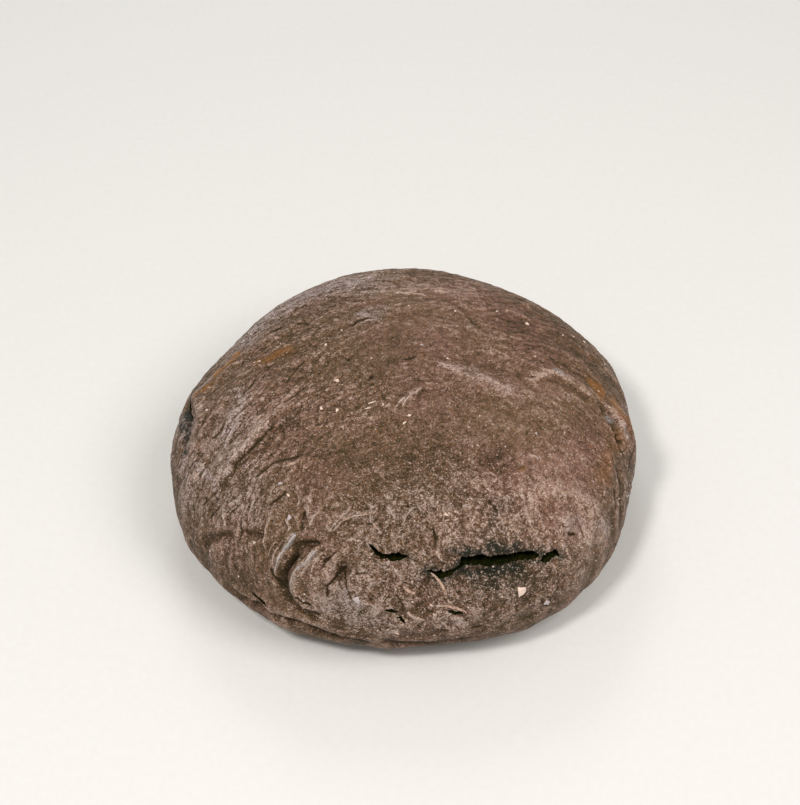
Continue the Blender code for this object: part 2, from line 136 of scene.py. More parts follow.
# Raised and sunken lines in the crust: height, half widths to the left and to the right of the
# line when it is walked with the crust underfoot, all in mm, then the places along it
LINES = {
    "left fold, outer ridge": (1.5, 1.3, 3.0, (
        (-122, 40), (-122.8, 37.5), (-123.6, 33), (-124.4, 28), (-124, 23), (-122.3, 17),
    )),
    "left fold, deep groove": (-3.9, 2.0, 2.1, (
        (-119.5, 37), (-120.2, 32), (-121.3, 27), (-121.3, 21), (-119.8, 15), (-116, 11),
    )),
    "left fold, side groove": (-3.2, 2.0, 2.0, ((-122, 34), (-120, 35.5), (-118, 37), (-114, 38.5))),
    "left fold, inner ridge": (2.0, 4.6, 1.4, (
        (-114, 37.5), (-115.8, 34), (-117.4, 30), (-118.4, 25), (-118.2, 19), (-115.8, 14), (-111, 10),
    )),
    "left fold, lower groove": (-1.8, 2.0, 1.6, ((-118, 10), (-114, 7), (-110, 5))),
    "seam beside the left fold": (1.0, 1.3, 2.0, ((-110, 27), (-109, 20), (-108.5, 14), (-108, 6))),
    "arched ridge": (1.7, 4.5, 1.7, (
        (-115.5, 41), (-113.5, 44.5), (-110, 47), (-106, 48), (-102, 47), (-99.5, 44.5),
    )),
    "winding ridge": (1.5, 2.0, 1.5, ((-131, 52), (-127.5, 48.5), (-123.5, 47.5), (-122, 45), (-120, 41))),
    "side ridge": (1.2, 1.4, 1.8, ((-125, 52), (-124, 50), (-123, 47.5))),
    "left crease, crest": (1.5, 2.4, 8.0, (
        (-168, 65), (-163, 59.5), (-159, 53), (-156, 47), (-154, 41), (-151, 35),
    )),
    "left crease, valley": (-1.6, 9.0, 3.0, (
        (-163, 67), (-157, 60), (-153, 53), (-150, 47), (-148, 41), (-145, 33),
    )),
    "left shoulder ridge": (1.1, 4.5, 3.0, ((176, 48), (-176, 41), (-170, 34), (-164, 26))),
    "left rim dents": (-2.6, 2.8, 2.2, ((-147, 9), (-143.5, 16), (-141.5, 22), (-138, 25.5))),
    "left rim dents, upper": (-1.9, 2.6, 2.0, ((-138, 29), (-134, 31.5), (-131, 33))),
    "left rim seam": (-4.0, 2.2, 2.2, (
        (171, 18), (174, 23), (179, 26), (-178, 28), (-174, 26.5), (-169, 22),
    )),
    "left rim seam, lip": (1.5, 5.0, 2.0, ((169, 25), (174, 30), (180, 33), (-174, 32), (-168, 28))),
    "ledge under the tear": (-2.8, 2.0, 3.4, ((-77, 31), (-73, 30), (-67, 28), (-62, 27.5), (-57, 28))),
    "upper lip of the tear": (1.4, 9.0, 3.2, ((-84, 36), (-77, 37), (-70, 36), (-62, 35), (-53, 34))),
    "lower lip of the tear": (0.9, 3.0, 7.0, ((-80, 24), (-73, 23), (-66, 22), (-58, 23))),
    "lip of the second tear": (1.5, 6.0, 2.0, ((-103, 41), (-99, 40.5), (-95, 39.8), (-89, 39.5))),
    "flap under the second tear": (1.2, 1.6, 3.0, ((-101, 35), (-98, 33.4), (-95, 33.2), (-91, 34.4))),
    "hollow by the strip": (-2.2, 3.0, 3.0, ((-86, 29), (-85, 26), (-84, 22))),
    "arched ridge on the right": (1.5, 5.0, 2.6, (
        (-4, 61), (4, 58), (8, 55), (7, 51), (4, 46), (1, 40), (-1, 35),
    )),
    "dip behind the crown": (-1.5, 8.0, 5.0, ((28, 78), (14, 70), (7, 65), (3, 61))),
    "crown ridge": (1.2, 3.0, 6.0, ((30, 82), (8, 77.5), (1, 73.5), (-4, 70), (-6, 66))),
    "crown streak": (1.0, 2.0, 1.6, ((-96, 78), (-88, 81), (-72, 84), (-30, 85.5))),
    "far crease": (-0.9, 2.6, 1.6, ((78, 55), (66, 59), (53, 63), (40, 64))),
    "fold by the right bulge": (-3.2, 2.6, 2.0, ((1, 39), (-3.5, 34.5), (-6.5, 30.5), (-9, 27), (-13, 22))),
    "right shoulder crease": (-1.6, 3.0, 2.0, ((-12, 31), (-17, 24), (-21, 17), (-24, 9), (-26, 2))),
    "right rim crease": (-1.2, 2.0, 2.0, ((-27, 20), (-29, 13), (-30, 6))),
    "front crease": (-1.3, 3.0, 2.4, ((-96, 28), (-99, 20), (-101, 13), (-101, 5))),
    "seam under the left front": (-3.6, 2.0, 3.4, (
        (-139, -11), (-133, -8), (-127, -5), (-121, -4), (-114, -5), (-106, -9), (-97, -14),
    )),
    "overhang at the left front": (2.2, 5.0, 2.2, (
        (-138, -2), (-131, 1), (-125, 3), (-118, 3), (-111, 2), (-104, -2), (-96, -6),
    )),
    "seam under the front": (-1.8, 2.0, 2.6, ((-98, -11), (-90, -12), (-80, -12), (-68, -10))),
}

# Bumps and dimples: height and half width in mm, place
SPOTS = {
    "right bulge": (4.0, 8.5, (-2, 27)),
    "right bulge, lower end": (2.2, 6.0, (-6, 19)),
    "dimple by the fold": (-4.2, 3.4, (-107, 30)),
    "small dimple": (-2.4, 2.8, (-111, 23)),
    "hole under the left rim": (-3.5, 2.8, (-126, 1)),
    "far rim notch": (-2.8, 2.8, (44, 33)),
    "far rim chip": (1.8, 2.8, (46, 42)),
    "far rim dent": (-1.6, 3.2, (52, 37)),
    "blister near the tear": (1.6, 4.5, (-86, 37)),
    "knob left of the tear": (1.4, 3.2, (-87, 33)),
    "pale lump": (1.2, 5.0, (-40, 22)),
    "right lump": (1.2, 5.0, (-33, 30)),
    "right hollow": (-1.5, 9.0, (-28, 38)),
    "middle hollow": (-2.0, 17.0, (-92, 66)),
    "middle hollow, left": (-1.3, 12.0, (-120, 66)),
    "front swelling": (1.6, 16.0, (-76, 8)),
    "left front swelling": (1.8, 12.0, (-113, 22)),
    "shoulder swelling": (1.3, 20.0, (-52, 45)),
}

# Tears through the crust: depth in mm, how far they lean under the crust above in degrees, then
# (azimuth, latitude, opening in mm) along each
TEARS = {
    "main tear": (17, 20, (
        (-84.6, 32.2, 0.3), (-83.5, 31.6, 1.6), (-82.2, 30.7, 3.2), (-80.9, 30.4, 4.1), (-79.6, 30.4, 2.7),
        (-78.0, 30.7, 1.9), (-76.5, 31.3, 1.6), (-75.3, 32.3, 2.4), (-74.3, 33.4, 4.1), (-72.7, 33.4, 4.6),
        (-71.1, 33.2, 4.9), (-69.2, 32.9, 5.4), (-67.4, 32.2, 5.9), (-65.6, 31.6, 5.7), (-63.8, 31.0, 5.4),
        (-62.0, 30.5, 5.1), (-60.3, 30.5, 4.3), (-58.9, 30.4, 4.1), (-57.5, 30.1, 4.3), (-56.2, 29.7, 4.3),
        (-55.1, 29.2, 2.7), (-54.4, 28.6, 0.3),
    )),
    "short tear": (9, 14, (
        (-54.7, 26.7, 0.4), (-54.0, 26.4, 2.7), (-52.9, 26.7, 3.8), (-51.7, 26.6, 3.8), (-50.5, 26.5, 3.2),
        (-49.8, 25.5, 1.6), (-49.3, 24.0, 0.4),
    )),
    "second tear": (10, 18, (
        (-100.6, 40.6, 0.4), (-99.5, 39.1, 2.2), (-98.3, 37.7, 2.7), (-96.7, 36.8, 3.2), (-94.7, 36.4, 3.8),
        (-92.8, 36.6, 3.2), (-91.1, 36.7, 2.4), (-89.8, 36.4, 0.4),
    )),
    "upper pore": (5, 10, ((-95.2, 16.5, 0.5), (-94.3, 15.9, 2), (-93.3, 15.4, 2.2), (-92, 14.6, 0.5))),
    "lower pore": (5, 10, ((-92.5, 12.5, 0.5), (-91.6, 12.1, 2.1), (-91, 11.5, 1.8), (-90.3, 10.6, 0.5))),
    "shade under the flake": (4, 30, (
        (-80.3, 15.3, 0.4), (-79.3, 14.7, 1.5), (-78.2, 14.1, 1.7), (-77.0, 13.3, 1.6), (-75.6, 12.4, 0.4),
    )),
    "slot in the left rim": (8, 14, (
        (167.9, 25.4, 0.5), (171.2, 26.1, 2.2), (174.8, 26.9, 3), (178.6, 28.2, 3), (-178, 28.8, 2.5),
        (-175.2, 28, 2.5), (-172.8, 26.5, 2), (-170.8, 25.1, 1.3), (-169.9, 24.2, 0.4),
    )),
    "slot under the left rim": (5, 10, (
        (-128.8, 6.8, 0.4), (-127.1, 6.8, 1.7), (-125.7, 6.2, 2.6), (-124.6, 5.5, 2), (-123.9, 4.9, 0.4),
    )),
}
TEAR_NARROWING = 0.35  # opening at the bottom of a tear, as part of its mouth
TEAR_RUN_OUT = 9 * MM  # how far a cutter stands out of the crust
TEAR_STEPS = 7  # rings between two places of a tear
TEAR_LEVELS = (0.0, 0.04, 0.10, 0.2, 0.4, 0.7, 1.0)  # depths, as parts of the whole, that bend its walls
TEAR_RAGGED = 1.3 * MM  # how far noise moves the walls
TEAR_RAGGED_SIZE = 2.6 * MM
TEAR_LEAST_DEPTH = 0.35  # depth of a tear where it is shut, as part of its full depth
TEAR_DEPTH_GAIN = 0.3  # and how much of it each mm of opening adds
LEAST_OPENING = 0.3  # mm

# Loose strips of skin: width and thickness in mm, places along the middle
FLAKES = {
    "curled strip": (1.5, 1.5, (
        (-83.6, 31.0), (-82.4, 29.4), (-81.3, 27.2), (-80.7, 25.0), (-80.3, 22.8), (-80.4, 20.9),
    )),
    "raised flake": (1.2, 0.7, ((-81.2, 17.8), (-79.9, 17.0), (-78.0, 15.5), (-76.3, 14.0), (-75.6, 12.8))),
    "pale curl": (1.4, 0.8, ((-90.9, 26.5), (-89.7, 24.5), (-88.0, 23.2))),
}
FLAKE_SINK = 0.7 * MM  # how deep a flake's edge lies in the crust
FLAKE_END_WIDTH = 0.35  # width of a flake at its ends, as part of its middle
FLAKE_END_THICKNESS = 0.4
FLAKE_STEPS = 6

# Pale chips: length and width in mm, how far the long side is turned from level, place
CHIPS = {
    "pale chip": (5.8, 4.2, 62, (-61.6, 17.1)),
    "chip over the tear": (2.4, 1.2, -20, (-76.6, 48.2)),
    "cool chip": (2.2, 1.7, 20, (-135.9, 48.2)),
    "left chip": (3.0, 1.7, 80, (-177.2, 73.6)),
    "left chip, second": (2.2, 1.3, -30, (-155.4, 68.4)),
    "left chip, third": (1.9, 1.7, 0, (-148.1, 71.2)),
    "long chip, top": (4.2, 0.8, 62, (-134.5, 78.4)),
    "long chip, foot": (3.4, 0.7, 58, (-131.8, 76.4)),
    "middle chip": (2.3, 1.2, 45, (-92.4, 75.4)),
    "middle chip, second": (2.0, 1.7, 0, (-87.2, 77.5)),
    "far chip": (1.7, 1.1, 10, (149.2, 66.4)),
    "far chip, second": (1.6, 1.4, 0, (69.7, 78.9)),
    "chip in the folds": (2.2, 1.0, -8, (-131.1, 46.9)),
    "right chip": (2.2, 1.0, 0, (26.9, 33.3)),
    "right chip, second": (2.4, 1.8, 0, (37.5, 50.5)),
    "front chip": (1.9, 1.0, -45, (-84, 17.9)),
    "blister": (3.4, 3.2, 0, (-102.5, 20.2)),
    "left knob": (2.6, 2.2, 60, (-126.5, 41.5)),
    "ring": (3.6, 3.4, 0, (-55.5, 5.2)),
}
CHIP_THICKNESS = 0.55 * MM
FULL_THICKNESS_WIDTH = 1.2 * MM  # chips narrower than this are thinner too
COOL_CHIPS = ("cool chip", "far chip, second", "blister", "left knob", "ring")
COOL_TONE = 0.95
WARM_TONE = 0.5
BRAN_SEED = 11
BRAN_COUNT = 150
BRAN_LEAST_LATITUDE = 6
BRAN_SIZE = (0.7 * MM, 1.5 * MM)
BRAN_BREADTH = (0.35, 0.8)  # least and greatest width of a fleck, as part of its length

# ---------------------------------------------------------------- finer relief of the skin

CRUMPLE_REACH = (36 * MM, 94 * MM)  # the fine crumples fade between these distances from the flow centre
DRAWN_REACH = (45 * MM, 115 * MM)  # the skin is drawn out in streaks from the first, wholly from the second
DRAWN_RISE = (-40, -10)  # and from the first of these latitudes up, wholly from the second
UNDRAWN_PLACES = (((-42, 58), 52 * MM), ((100, 78), 26 * MM))  # where it isn't, and how wide
UNDRAWN_SHARE = 0.75
STREAK_DRIFT = 1.2  # spacings by which noise pushes the streaks off their arcs
STREAK_DRIFT_SIZE = 14 * MM
CREASE_SPACING = 3.4 * MM
CREASE_TURNS = 9
STREAK_SPACING = 1.6 * MM
STREAK_TURNS = 26
GRIT_SIZE = 4.2 * MM
FINE_GRIT_SIZE = 2.2 * MM
FOLD_SIZE = 6.5 * MM
FOLD_SWAY = (7 * MM, 2.5 * MM)  # grain size and reach of the sway
CRUMPLE_SIZE = 3.6 * MM
CRUMPLE_SWAY = (3.5 * MM, 1.2 * MM)
FINE_SWAY_SIZE = 5 * MM  # the small lines sway less than the large ones
FINE_SWAY = 0.8 * MM

# Small ridges and creases, written as the lines above
FINE_LINES = {
    "outer ridge, bright top": (1.1, 0.8, 1.0, (
        (-122.6, 38.3), (-122.7, 36.3), (-122.8, 34.3), (-123.5, 31.5),
    )),
    "outer ridge, bright foot": (0.9, 0.8, 0.9, (
        (-123.6, 31.5), (-124.1, 28.3), (-123.9, 25.5), (-123.5, 22.5), (-122.3, 18),
    )),
    "outer ridge, second": (0.6, 0.7, 0.8, ((-124.6, 35), (-125.4, 32), (-125.5, 28.5), (-124.9, 25))),
    "outer ridge, third": (0.5, 0.7, 0.8, ((-126.6, 33.5), (-127.2, 30.5), (-127, 27))),
    "crack at its foot": (-1.7, 0.8, 0.8, (
        (-125, 24.5), (-124.4, 22.1), (-122.9, 20), (-121.5, 17.6), (-120.5, 15.5),
    )),
    "deep line of the fold": (-1.4, 0.8, 0.8, (
        (-119.2, 33.5), (-120.3, 29.5), (-121, 25.5), (-120.8, 21), (-120, 17),
    )),
    "dark top of the fold": (-1.5, 0.9, 0.9, (
        (-120.6, 35.8), (-119.2, 36.2), (-118, 36.4), (-116.8, 37), (-115.2, 38),
    )),
    "inner ridge, bright edge": (1.1, 0.8, 0.9, (
        (-114.6, 36.6), (-115.3, 35.5), (-116.6, 32.2), (-118, 29), (-118.6, 25.1), (-118.8, 20),
        (-118.4, 16.3),
    )),
    "inner ridge, second": (0.6, 0.7, 0.8, ((-113.2, 36), (-114.8, 33), (-116.1, 29.5), (-116.6, 26))),
    "flap, upper edge": (1.0, 0.6, 0.6, ((-98.8, 35.6), (-97.3, 34.5), (-95.7, 34.2), (-94.3, 34.3))),
    "flap, crack": (-1.0, 0.5, 0.5, ((-98.6, 35), (-97.1, 33.9), (-95.5, 33.8))),
    "flap, lower edge": (0.9, 0.6, 0.6, ((-98.6, 34.3), (-97, 33.4), (-95.4, 33.4))),
    "fold inside, 1": (0.6, 0.8, 0.8, ((-114.4, 38.1), (-116.1, 35.2), (-116.7, 31.4))),
    "fold inside, 2": (0.6, 0.8, 0.8, ((-112, 37.8), (-113.7, 34.6), (-114.4, 30.9), (-114.3, 26.3))),
    "fold inside, 3": (-0.7, 0.7, 0.7, ((-109.5, 37.1), (-111.2, 34), (-112.3, 30.1))),
    "right of the seam": (-0.6, 0.7, 0.7, ((-108, 29.5), (-105.7, 26.3), (-104.1, 21.7), (-103.3, 16.7))),
    "front lump 1": (0.6, 0.9, 0.9, ((-95.4, 21.5), (-93.6, 16.9), (-92.6, 10.4))),
    "front lump 2": (0.6, 0.9, 0.9, ((-90.4, 15.9), (-88, 12.5), (-85.6, 11.1))),
    "front lump 3": (0.7, 0.9, 0.9, ((-80.3, 9.4), (-77.8, 10.6), (-76.6, 9.6))),
    "front crack 1": (-0.6, 0.7, 0.7, ((-92.9, 22.9), (-91.2, 18.4), (-90.7, 12.7))),
    "front crack 2": (-0.7, 0.7, 0.7, ((-86.7, 18.6), (-84.8, 15.4), (-82.4, 14.5))),
    "front crack 3": (-0.8, 0.7, 0.7, ((-78.1, 12.5), (-76.6, 11), (-75.2, 7.6))),
    "front crack 4": (-0.7, 0.7, 0.7, ((-71.8, 19.2), (-71.1, 13.9), (-71.8, 8.2))),
    "dark front line": (-1.0, 0.7, 0.7, ((-75.2, 2.9), (-73.2, 2.6), (-71.3, 2.2))),
    "arc over the curl": (0.8, 0.7, 0.7, ((-91.2, 28), (-89.9, 28.7), (-88.6, 28), (-88.7, 26.4))),
    "brown fold by the strip": (0.7, 0.7, 0.7, ((-84.3, 18.8), (-81.8, 18), (-80.6, 17.8))),
    "small ring at the front": (0.7, 0.6, 0.6, ((-93.5, 4.6), (-92.4, 4), (-91.6, 2.3))),
    "right crescent": (0.52, 0.9, 1.2, (
        (-48.7, 49), (-49.9, 46.3), (-52.1, 43.3), (-52.9, 39.3), (-52.3, 35.4),
    )),
    "dark foot of the lilac lump": (-1.0, 0.8, 0.8, ((-44.9, 30.7), (-44.1, 28.7), (-42.5, 28))),
    "orange line": (-0.3, 0.6, 0.6, ((-35.7, 34.6), (-35.7, 32.4), (-36, 29.5))),
    "rim slit 1": (-1.3, 0.7, 0.7, ((-22.2, 17.2), (-22.6, 14.8), (-23, 12.6))),
    "rim slit 2": (-0.8, 0.7, 0.7, ((-22.1, 23.6), (-24.2, 20.3), (-26.1, 15.6))),
    "pale rim ridge": (0.8, 0.7, 0.8, ((-32.5, 23.9), (-32.8, 22.2), (-32.7, 20.5))),
    "front right ridge": (0.39, 0.8, 0.8, ((-66.6, 20.9), (-65.2, 16.8), (-64.8, 11.5))),
    "right front 1": (0.39, 0.8, 0.8, ((-53.3, 26.2), (-52.2, 22.1), (-52, 16.9))),
    "right front 2": (0.45, 0.8, 0.8, ((-47.9, 28.2), (-47.3, 24.1), (-47.3, 19.2))),
    "right front 3": (-0.3, 0.7, 0.7, ((-40.3, 31.9), (-40.6, 27.8), (-41.8, 23.5))),
    "right front 4": (-0.3, 0.7, 0.7, ((-32.5, 32.3), (-33.8, 28.3), (-35.6, 24.7))),
    "right front 5": (0.39, 0.7, 0.7, ((-21.6, 33), (-24.4, 29.7), (-27.7, 26.9))),
    "middle ridge 1": (0.33, 0.8, 0.8, ((-78.6, 61.5), (-75.9, 59.1), (-72.2, 57.6))),
    "middle ridge 2": (0.39, 0.8, 0.8, ((-71.2, 53.8), (-68.6, 52), (-64.9, 51.3))),
    "middle ridge 3": (0.39, 0.8, 0.8, ((-86.8, 53.6), (-85.2, 50.8), (-82.6, 49))),
    "left of the fold 1": (0.6, 0.7, 0.7, ((-131.5, 38.7), (-130.9, 35.4), (-129.7, 31.7), (-127.9, 28.6))),
    "left of the fold 2": (0.5, 0.7, 0.7, ((-139.2, 40.8), (-138, 37), (-136.2, 33.4))),
    "left of the fold 3": (-0.6, 0.7, 0.7, ((-139.1, 32.9), (-137.5, 28.9), (-135.2, 25.3))),
    "left of the fold 4": (0.5, 0.7, 0.7, ((-146.6, 34), (-144.4, 29.5), (-141.5, 25.9))),
    "ridge under that crack": (0.7, 0.8, 0.8, (
        (-124.2, 19.4), (-122.5, 17.3), (-120.9, 14.9), (-119.2, 13.5),
    )),
    "groove under the inner ridge": (-1.5, 0.8, 0.8, (
        (-117.4, 16.5), (-115.7, 15), (-114.2, 14.3), (-112.7, 13.5),
    )),
    "ridge under that groove": (0.8, 0.8, 0.8, (
        (-118.8, 15), (-117.1, 12.9), (-115.3, 11.9), (-113.6, 11.8),
    )),
    "lower groove": (-1.3, 0.7, 0.8, ((-115.8, 10.3), (-113.8, 9.9), (-112, 9.8), (-110.6, 9.4))),
    "ridge under it": (0.6, 0.7, 0.7, ((-114.5, 9.4), (-112.5, 8.9), (-110.5, 8.1))),
    "standing seam": (0.7, 0.6, 0.6, ((-110.4, 24.6), (-109.9, 20.4), (-109.8, 15.5), (-109.4, 10.7))),
    "crack beside the seam": (-0.8, 0.6, 0.6, (
        (-109.9, 24.7), (-109.4, 20.1), (-109.1, 15.3), (-108.8, 9.1), (-108.3, 5.3),
    )),
    "groove to the dimple": (-1.4, 1.3, 1.3, ((-106.1, 31.4), (-107.4, 29), (-109, 26.2), (-110.9, 23.1))),
    "nick above the dimple": (-0.9, 0.8, 0.8, ((-112.8, 32.5), (-111.7, 33.5), (-110.7, 34.1))),
    "winding ridge 1": (0.8, 0.7, 0.7, (
        (-130.7, 49.1), (-128.6, 49.1), (-127, 48.2), (-126.6, 46.8), (-126.9, 45.7),
    )),
    "winding ridge 2": (0.8, 0.7, 0.7, ((-124.5, 46), (-123.1, 46.6), (-122, 45.4), (-121.6, 44.3))),
    "winding ridge 3": (0.9, 0.8, 0.8, ((-126.7, 43.4), (-124.6, 42.4), (-122.9, 41.2), (-121.8, 39))),
    "winding ridge 4": (0.8, 0.8, 0.8, ((-127.8, 41.2), (-126.2, 40.3), (-124.9, 39.3), (-124.7, 37.6))),
    "winding ridge 5": (0.7, 0.7, 0.7, ((-124.8, 52.2), (-124.5, 50.4), (-123.6, 48.9), (-121.9, 47.6))),
    "winding ridge 6": (0.7, 0.8, 0.8, ((-118.6, 48.6), (-119, 46.4), (-119.5, 44.1), (-119.9, 41.7))),
    "dark gap in the winding ridges": (-0.9, 1.2, 1.2, (
        (-123.7, 45.4), (-122.9, 43.5), (-122.1, 41.5), (-120.7, 40.1),
    )),
    "hollow left of them": (-0.9, 1.4, 1.4, ((-134.4, 41.6), (-133.1, 43.8), (-132.5, 46.2), (-132, 48.2))),
    "hook left of the arch": (0.8, 0.7, 0.7, (
        (-114.7, 46.1), (-114.6, 44.3), (-113.2, 42.5), (-111.7, 44.3), (-110.2, 46.4), (-106.7, 48.7),
    )),
    "upper hook": (0.7, 0.7, 0.7, (
        (-109.6, 50.8), (-110.2, 48.8), (-111.6, 46.5), (-113, 44.4), (-113.6, 42.7),
    )),
    "arch, bright edge": (0.9, 0.8, 1.2, ((-108.3, 47.6), (-106.7, 48.7), (-104.4, 49.2), (-101.9, 48.9))),
    "arch, right leg": (0.8, 0.7, 1, ((-102.3, 47.7), (-100.4, 46.5), (-98.8, 44.8), (-98, 43.1))),
    "fork, left": (0.9, 0.8, 1, ((-97.3, 51.9), (-95.6, 50.3), (-94, 48.4))),
    "fork, right": (0.9, 0.8, 0.9, ((-86.2, 51.4), (-88.8, 50.3), (-90.6, 48.7), (-91.6, 46.4))),
    "fork, stem": (0.7, 0.7, 0.7, ((-91.9, 45.6), (-92.8, 44.1), (-93.6, 42.4), (-94.6, 43.8))),
    "lip over the second tear": (0.8, 0.8, 1, (
        (-100.8, 41.8), (-99.4, 40.1), (-98, 38.3), (-96, 38.1), (-93.7, 38.5),
    )),
    "lip over the second tear, knob": (0.9, 1, 1, ((-102, 41.7), (-100.8, 39.9))),
    "ridge right of the flap": (0.8, 0.7, 0.7, ((-88.8, 35.6), (-87.5, 34.2), (-86.1, 32.8))),
    "ridge under the flap": (0.6, 0.8, 0.8, ((-93.4, 32.6), (-92.1, 30.9), (-90.5, 29.5))),
    "lump by the strip": (0.7, 1.2, 1.2, ((-88.1, 30.8), (-86.8, 30.1), (-85.7, 29.3))),
    "corner, upper": (0.7, 0.7, 0.9, ((-95.4, 28.3), (-97.7, 27.8), (-99.9, 26.1))),
    "corner, lower": (0.7, 0.7, 0.9, ((-99.9, 26.1), (-98.5, 23.8), (-97.1, 21.8), (-95.6, 19.7))),
    "crack under the corner": (-0.8, 0.6, 0.6, ((-99.5, 24.5), (-98.2, 22.6), (-96.8, 20.5))),
    "small ridge by the pores": (0.7, 0.8, 0.8, ((-100, 18.8), (-98.5, 18), (-97, 16.2))),
    "crack left of the corner": (-0.7, 0.7, 0.7, ((-103.5, 29.7), (-102.3, 30.6), (-100.8, 31.2))),
    "crease over the tear's left": (-1.2, 1.3, 1.3, (
        (-81.4, 45.7), (-81.5, 43.4), (-81.5, 40.7), (-82.1, 38),
    )),
    "ridge right of that crease": (0.9, 0.9, 1.4, (
        (-80.6, 43), (-80.7, 40.4), (-81.3, 37.9), (-80.4, 35.9), (-78.9, 34.1),
    )),
    "ridge over the tear 1": (0.7, 0.7, 1.1, ((-69.4, 40.8), (-68.4, 39.3), (-66.7, 37.9))),
    "ridge over the tear 2": (0.6, 0.7, 0.7, ((-62.1, 43.3), (-61.8, 41.3), (-60.9, 39.7))),
    "ridge over the tear 3": (0.7, 0.8, 0.8, ((-64.1, 38.5), (-63.8, 37), (-63, 35.8))),
    "lump over the tear 1": (0.8, 1.3, 1.3, ((-63.6, 42.2), (-63.8, 40.3))),
    "lump over the tear 2": (0.7, 1.4, 1.4, ((-56.5, 35.4), (-56.9, 32.8))),
    "shade above the tear": (-0.7, 1.4, 1.4, ((-60.9, 49.7), (-60.4, 47.7), (-59.8, 45.7))),
    "line over the ring": (0.6, 0.6, 0.6, ((-57.9, 13.2), (-56.5, 10.6), (-54.9, 8.2))),
    "lump on the right 1": (0.8, 1.4, 1.4, ((-39.2, 43.5), (-40.6, 42.3), (-41.2, 40.8))),
    "lump on the right 2": (0.7, 1.2, 1.2, ((-38.8, 40.4), (-37.7, 39.1))),
    "light ridge above the centre": (0.8, 1.2, 1.2, (
        (-94.9, 80), (-87.1, 82.5), (-69.1, 84.2), (-36.3, 84.9),
    )),
    "light ridge above the centre, left": (0.6, 1, 1, ((-104, 78.6), (-100.3, 81.2), (-91, 83.5))),
    "bottom lump": (0.8, 1, 1, ((-93.8, 4.3), (-92.6, 3.6), (-91.6, 2.1))),
    "lilac lump 1": (0.7, 1, 1, ((-82.9, 6.8), (-81.7, 5.8))),
    "lilac lump 2": (0.7, 0.8, 0.8, ((-81.7, 9.2), (-80.5, 6.9), (-79.3, 3.7))),
    "long crest": (0.9, 0.8, 1.6, (
        (-164.2, 60.4), (-162.3, 57.3), (-159.6, 53.7), (-156.8, 49.8), (-155.2, 46), (-154.2, 42.7),
        (-152.2, 39.7), (-150.3, 37.2),
    )),
    "long crest's foot": (-0.6, 1.3, 0.9, (
        (-161, 60.5), (-159.2, 57.5), (-156.8, 53.9), (-154.6, 50), (-153.3, 46.5), (-152.6, 43),
        (-150.7, 39.6),
    )),
    "second crest": (0.6, 1.6, 1.6, (
        (-174.3, 55.9), (-170.5, 52), (-167.9, 48.8), (-165, 46.6), (-162.2, 44), (-159.6, 41.4),
        (-157.2, 37.1),
    )),
    "left shoulder, thin ridge": (0.6, 0.7, 0.9, (
        (168, 38.5), (165.3, 40), (163.7, 42.4), (162.8, 45), (162.7, 47.5),
    )),
    "left streak 1": (-0.5, 0.6, 0.6, ((163.3, 64), (170.2, 63.1), (176.4, 62.1), (-178.8, 61))),
    "left streak 2": (-0.5, 0.6, 0.6, ((-177.6, 66.9), (-173.3, 65), (-169.4, 62.7), (-166.1, 60.4))),
    "left streak 3": (-0.4, 0.6, 0.6, ((170.2, 53.5), (176.1, 51.8), (-179.4, 49.8), (-177.3, 47.2))),
    "left streak 4": (-0.4, 0.6, 0.6, ((-162.4, 35.1), (-162.9, 30.8), (-162.6, 24.9), (-162.3, 19.1))),
    "left streak 5": (-0.5, 0.7, 0.7, ((-141.7, 36.8), (-142.3, 33.2), (-142.6, 29.4))),
    "left streak 6": (-0.5, 0.7, 0.7, ((-146.5, 30.9), (-147.1, 27.2), (-147.3, 23.5))),
    "left streak 7": (-0.4, 0.6, 0.6, ((-150.1, 33.7), (-150.9, 28.7), (-151.4, 23.3))),
    "left streak 8": (-0.7, 0.9, 0.9, (
        (-137.7, 57.9), (-140.3, 55.1), (-143.3, 52.1), (-144.3, 48.3), (-144, 44.9),
    )),
    "left streak 9": (0.6, 0.8, 1.1, ((-137.2, 56), (-138.6, 53.8), (-140.9, 52.1), (-142.2, 50.1))),
    "left streak 10": (-0.5, 0.7, 0.7, ((-169.3, 44.6), (-166.5, 42.5), (-165.9, 39.1))),
    "left streak 11": (-0.4, 0.6, 0.6, ((-173, 55.4), (-171.6, 53.4), (-169.2, 51))),
    "left streak 12": (-0.5, 0.6, 0.6, ((-159.2, 52.5), (-158.1, 50.5), (-158.4, 48.1))),
    "far crack 1": (-0.8, 0.6, 0.6, ((148, 46.2), (145.9, 47.7), (143.1, 49.1))),
    "far crack 2": (-0.7, 0.9, 0.9, ((142.5, 52.8), (139.5, 54.2), (138.8, 56.5))),
    "far crack 3": (-0.7, 0.6, 0.6, ((128.4, 66.8), (121.9, 66.3), (116.1, 66.3), (112, 66.9))),
    "far ridge": (0.6, 0.7, 0.9, ((127.2, 67.9), (119.9, 67.5), (114.3, 67.7), (109.6, 68.8))),
    "far crest": (0.5, 0.7, 0.9, ((96.3, 57.5), (90.5, 57.1), (84.6, 57.7), (78.9, 58.3))),
    "pit 1": (-1, 1.3, 1.3, ((156.3, 73.8), (157.6, 75))),
    "pit 2": (-1, 1.6, 1.6, ((-179.8, 81.3), (-174.8, 82.2))),
    "pit 3": (-0.9, 1.2, 1.2, ((95.9, 84.6), (81.3, 84.2), (70.2, 83.1))),
    "pit 4": (-0.8, 1, 1, ((23.7, 37.9), (23, 37))),
    "pit 5": (-0.8, 0.7, 0.7, ((13.9, 56.2), (13.4, 55.1))),
    "pit 6": (-0.7, 0.7, 0.7, ((4.6, 60.9), (4.3, 59.9), (3.9, 58.9))),
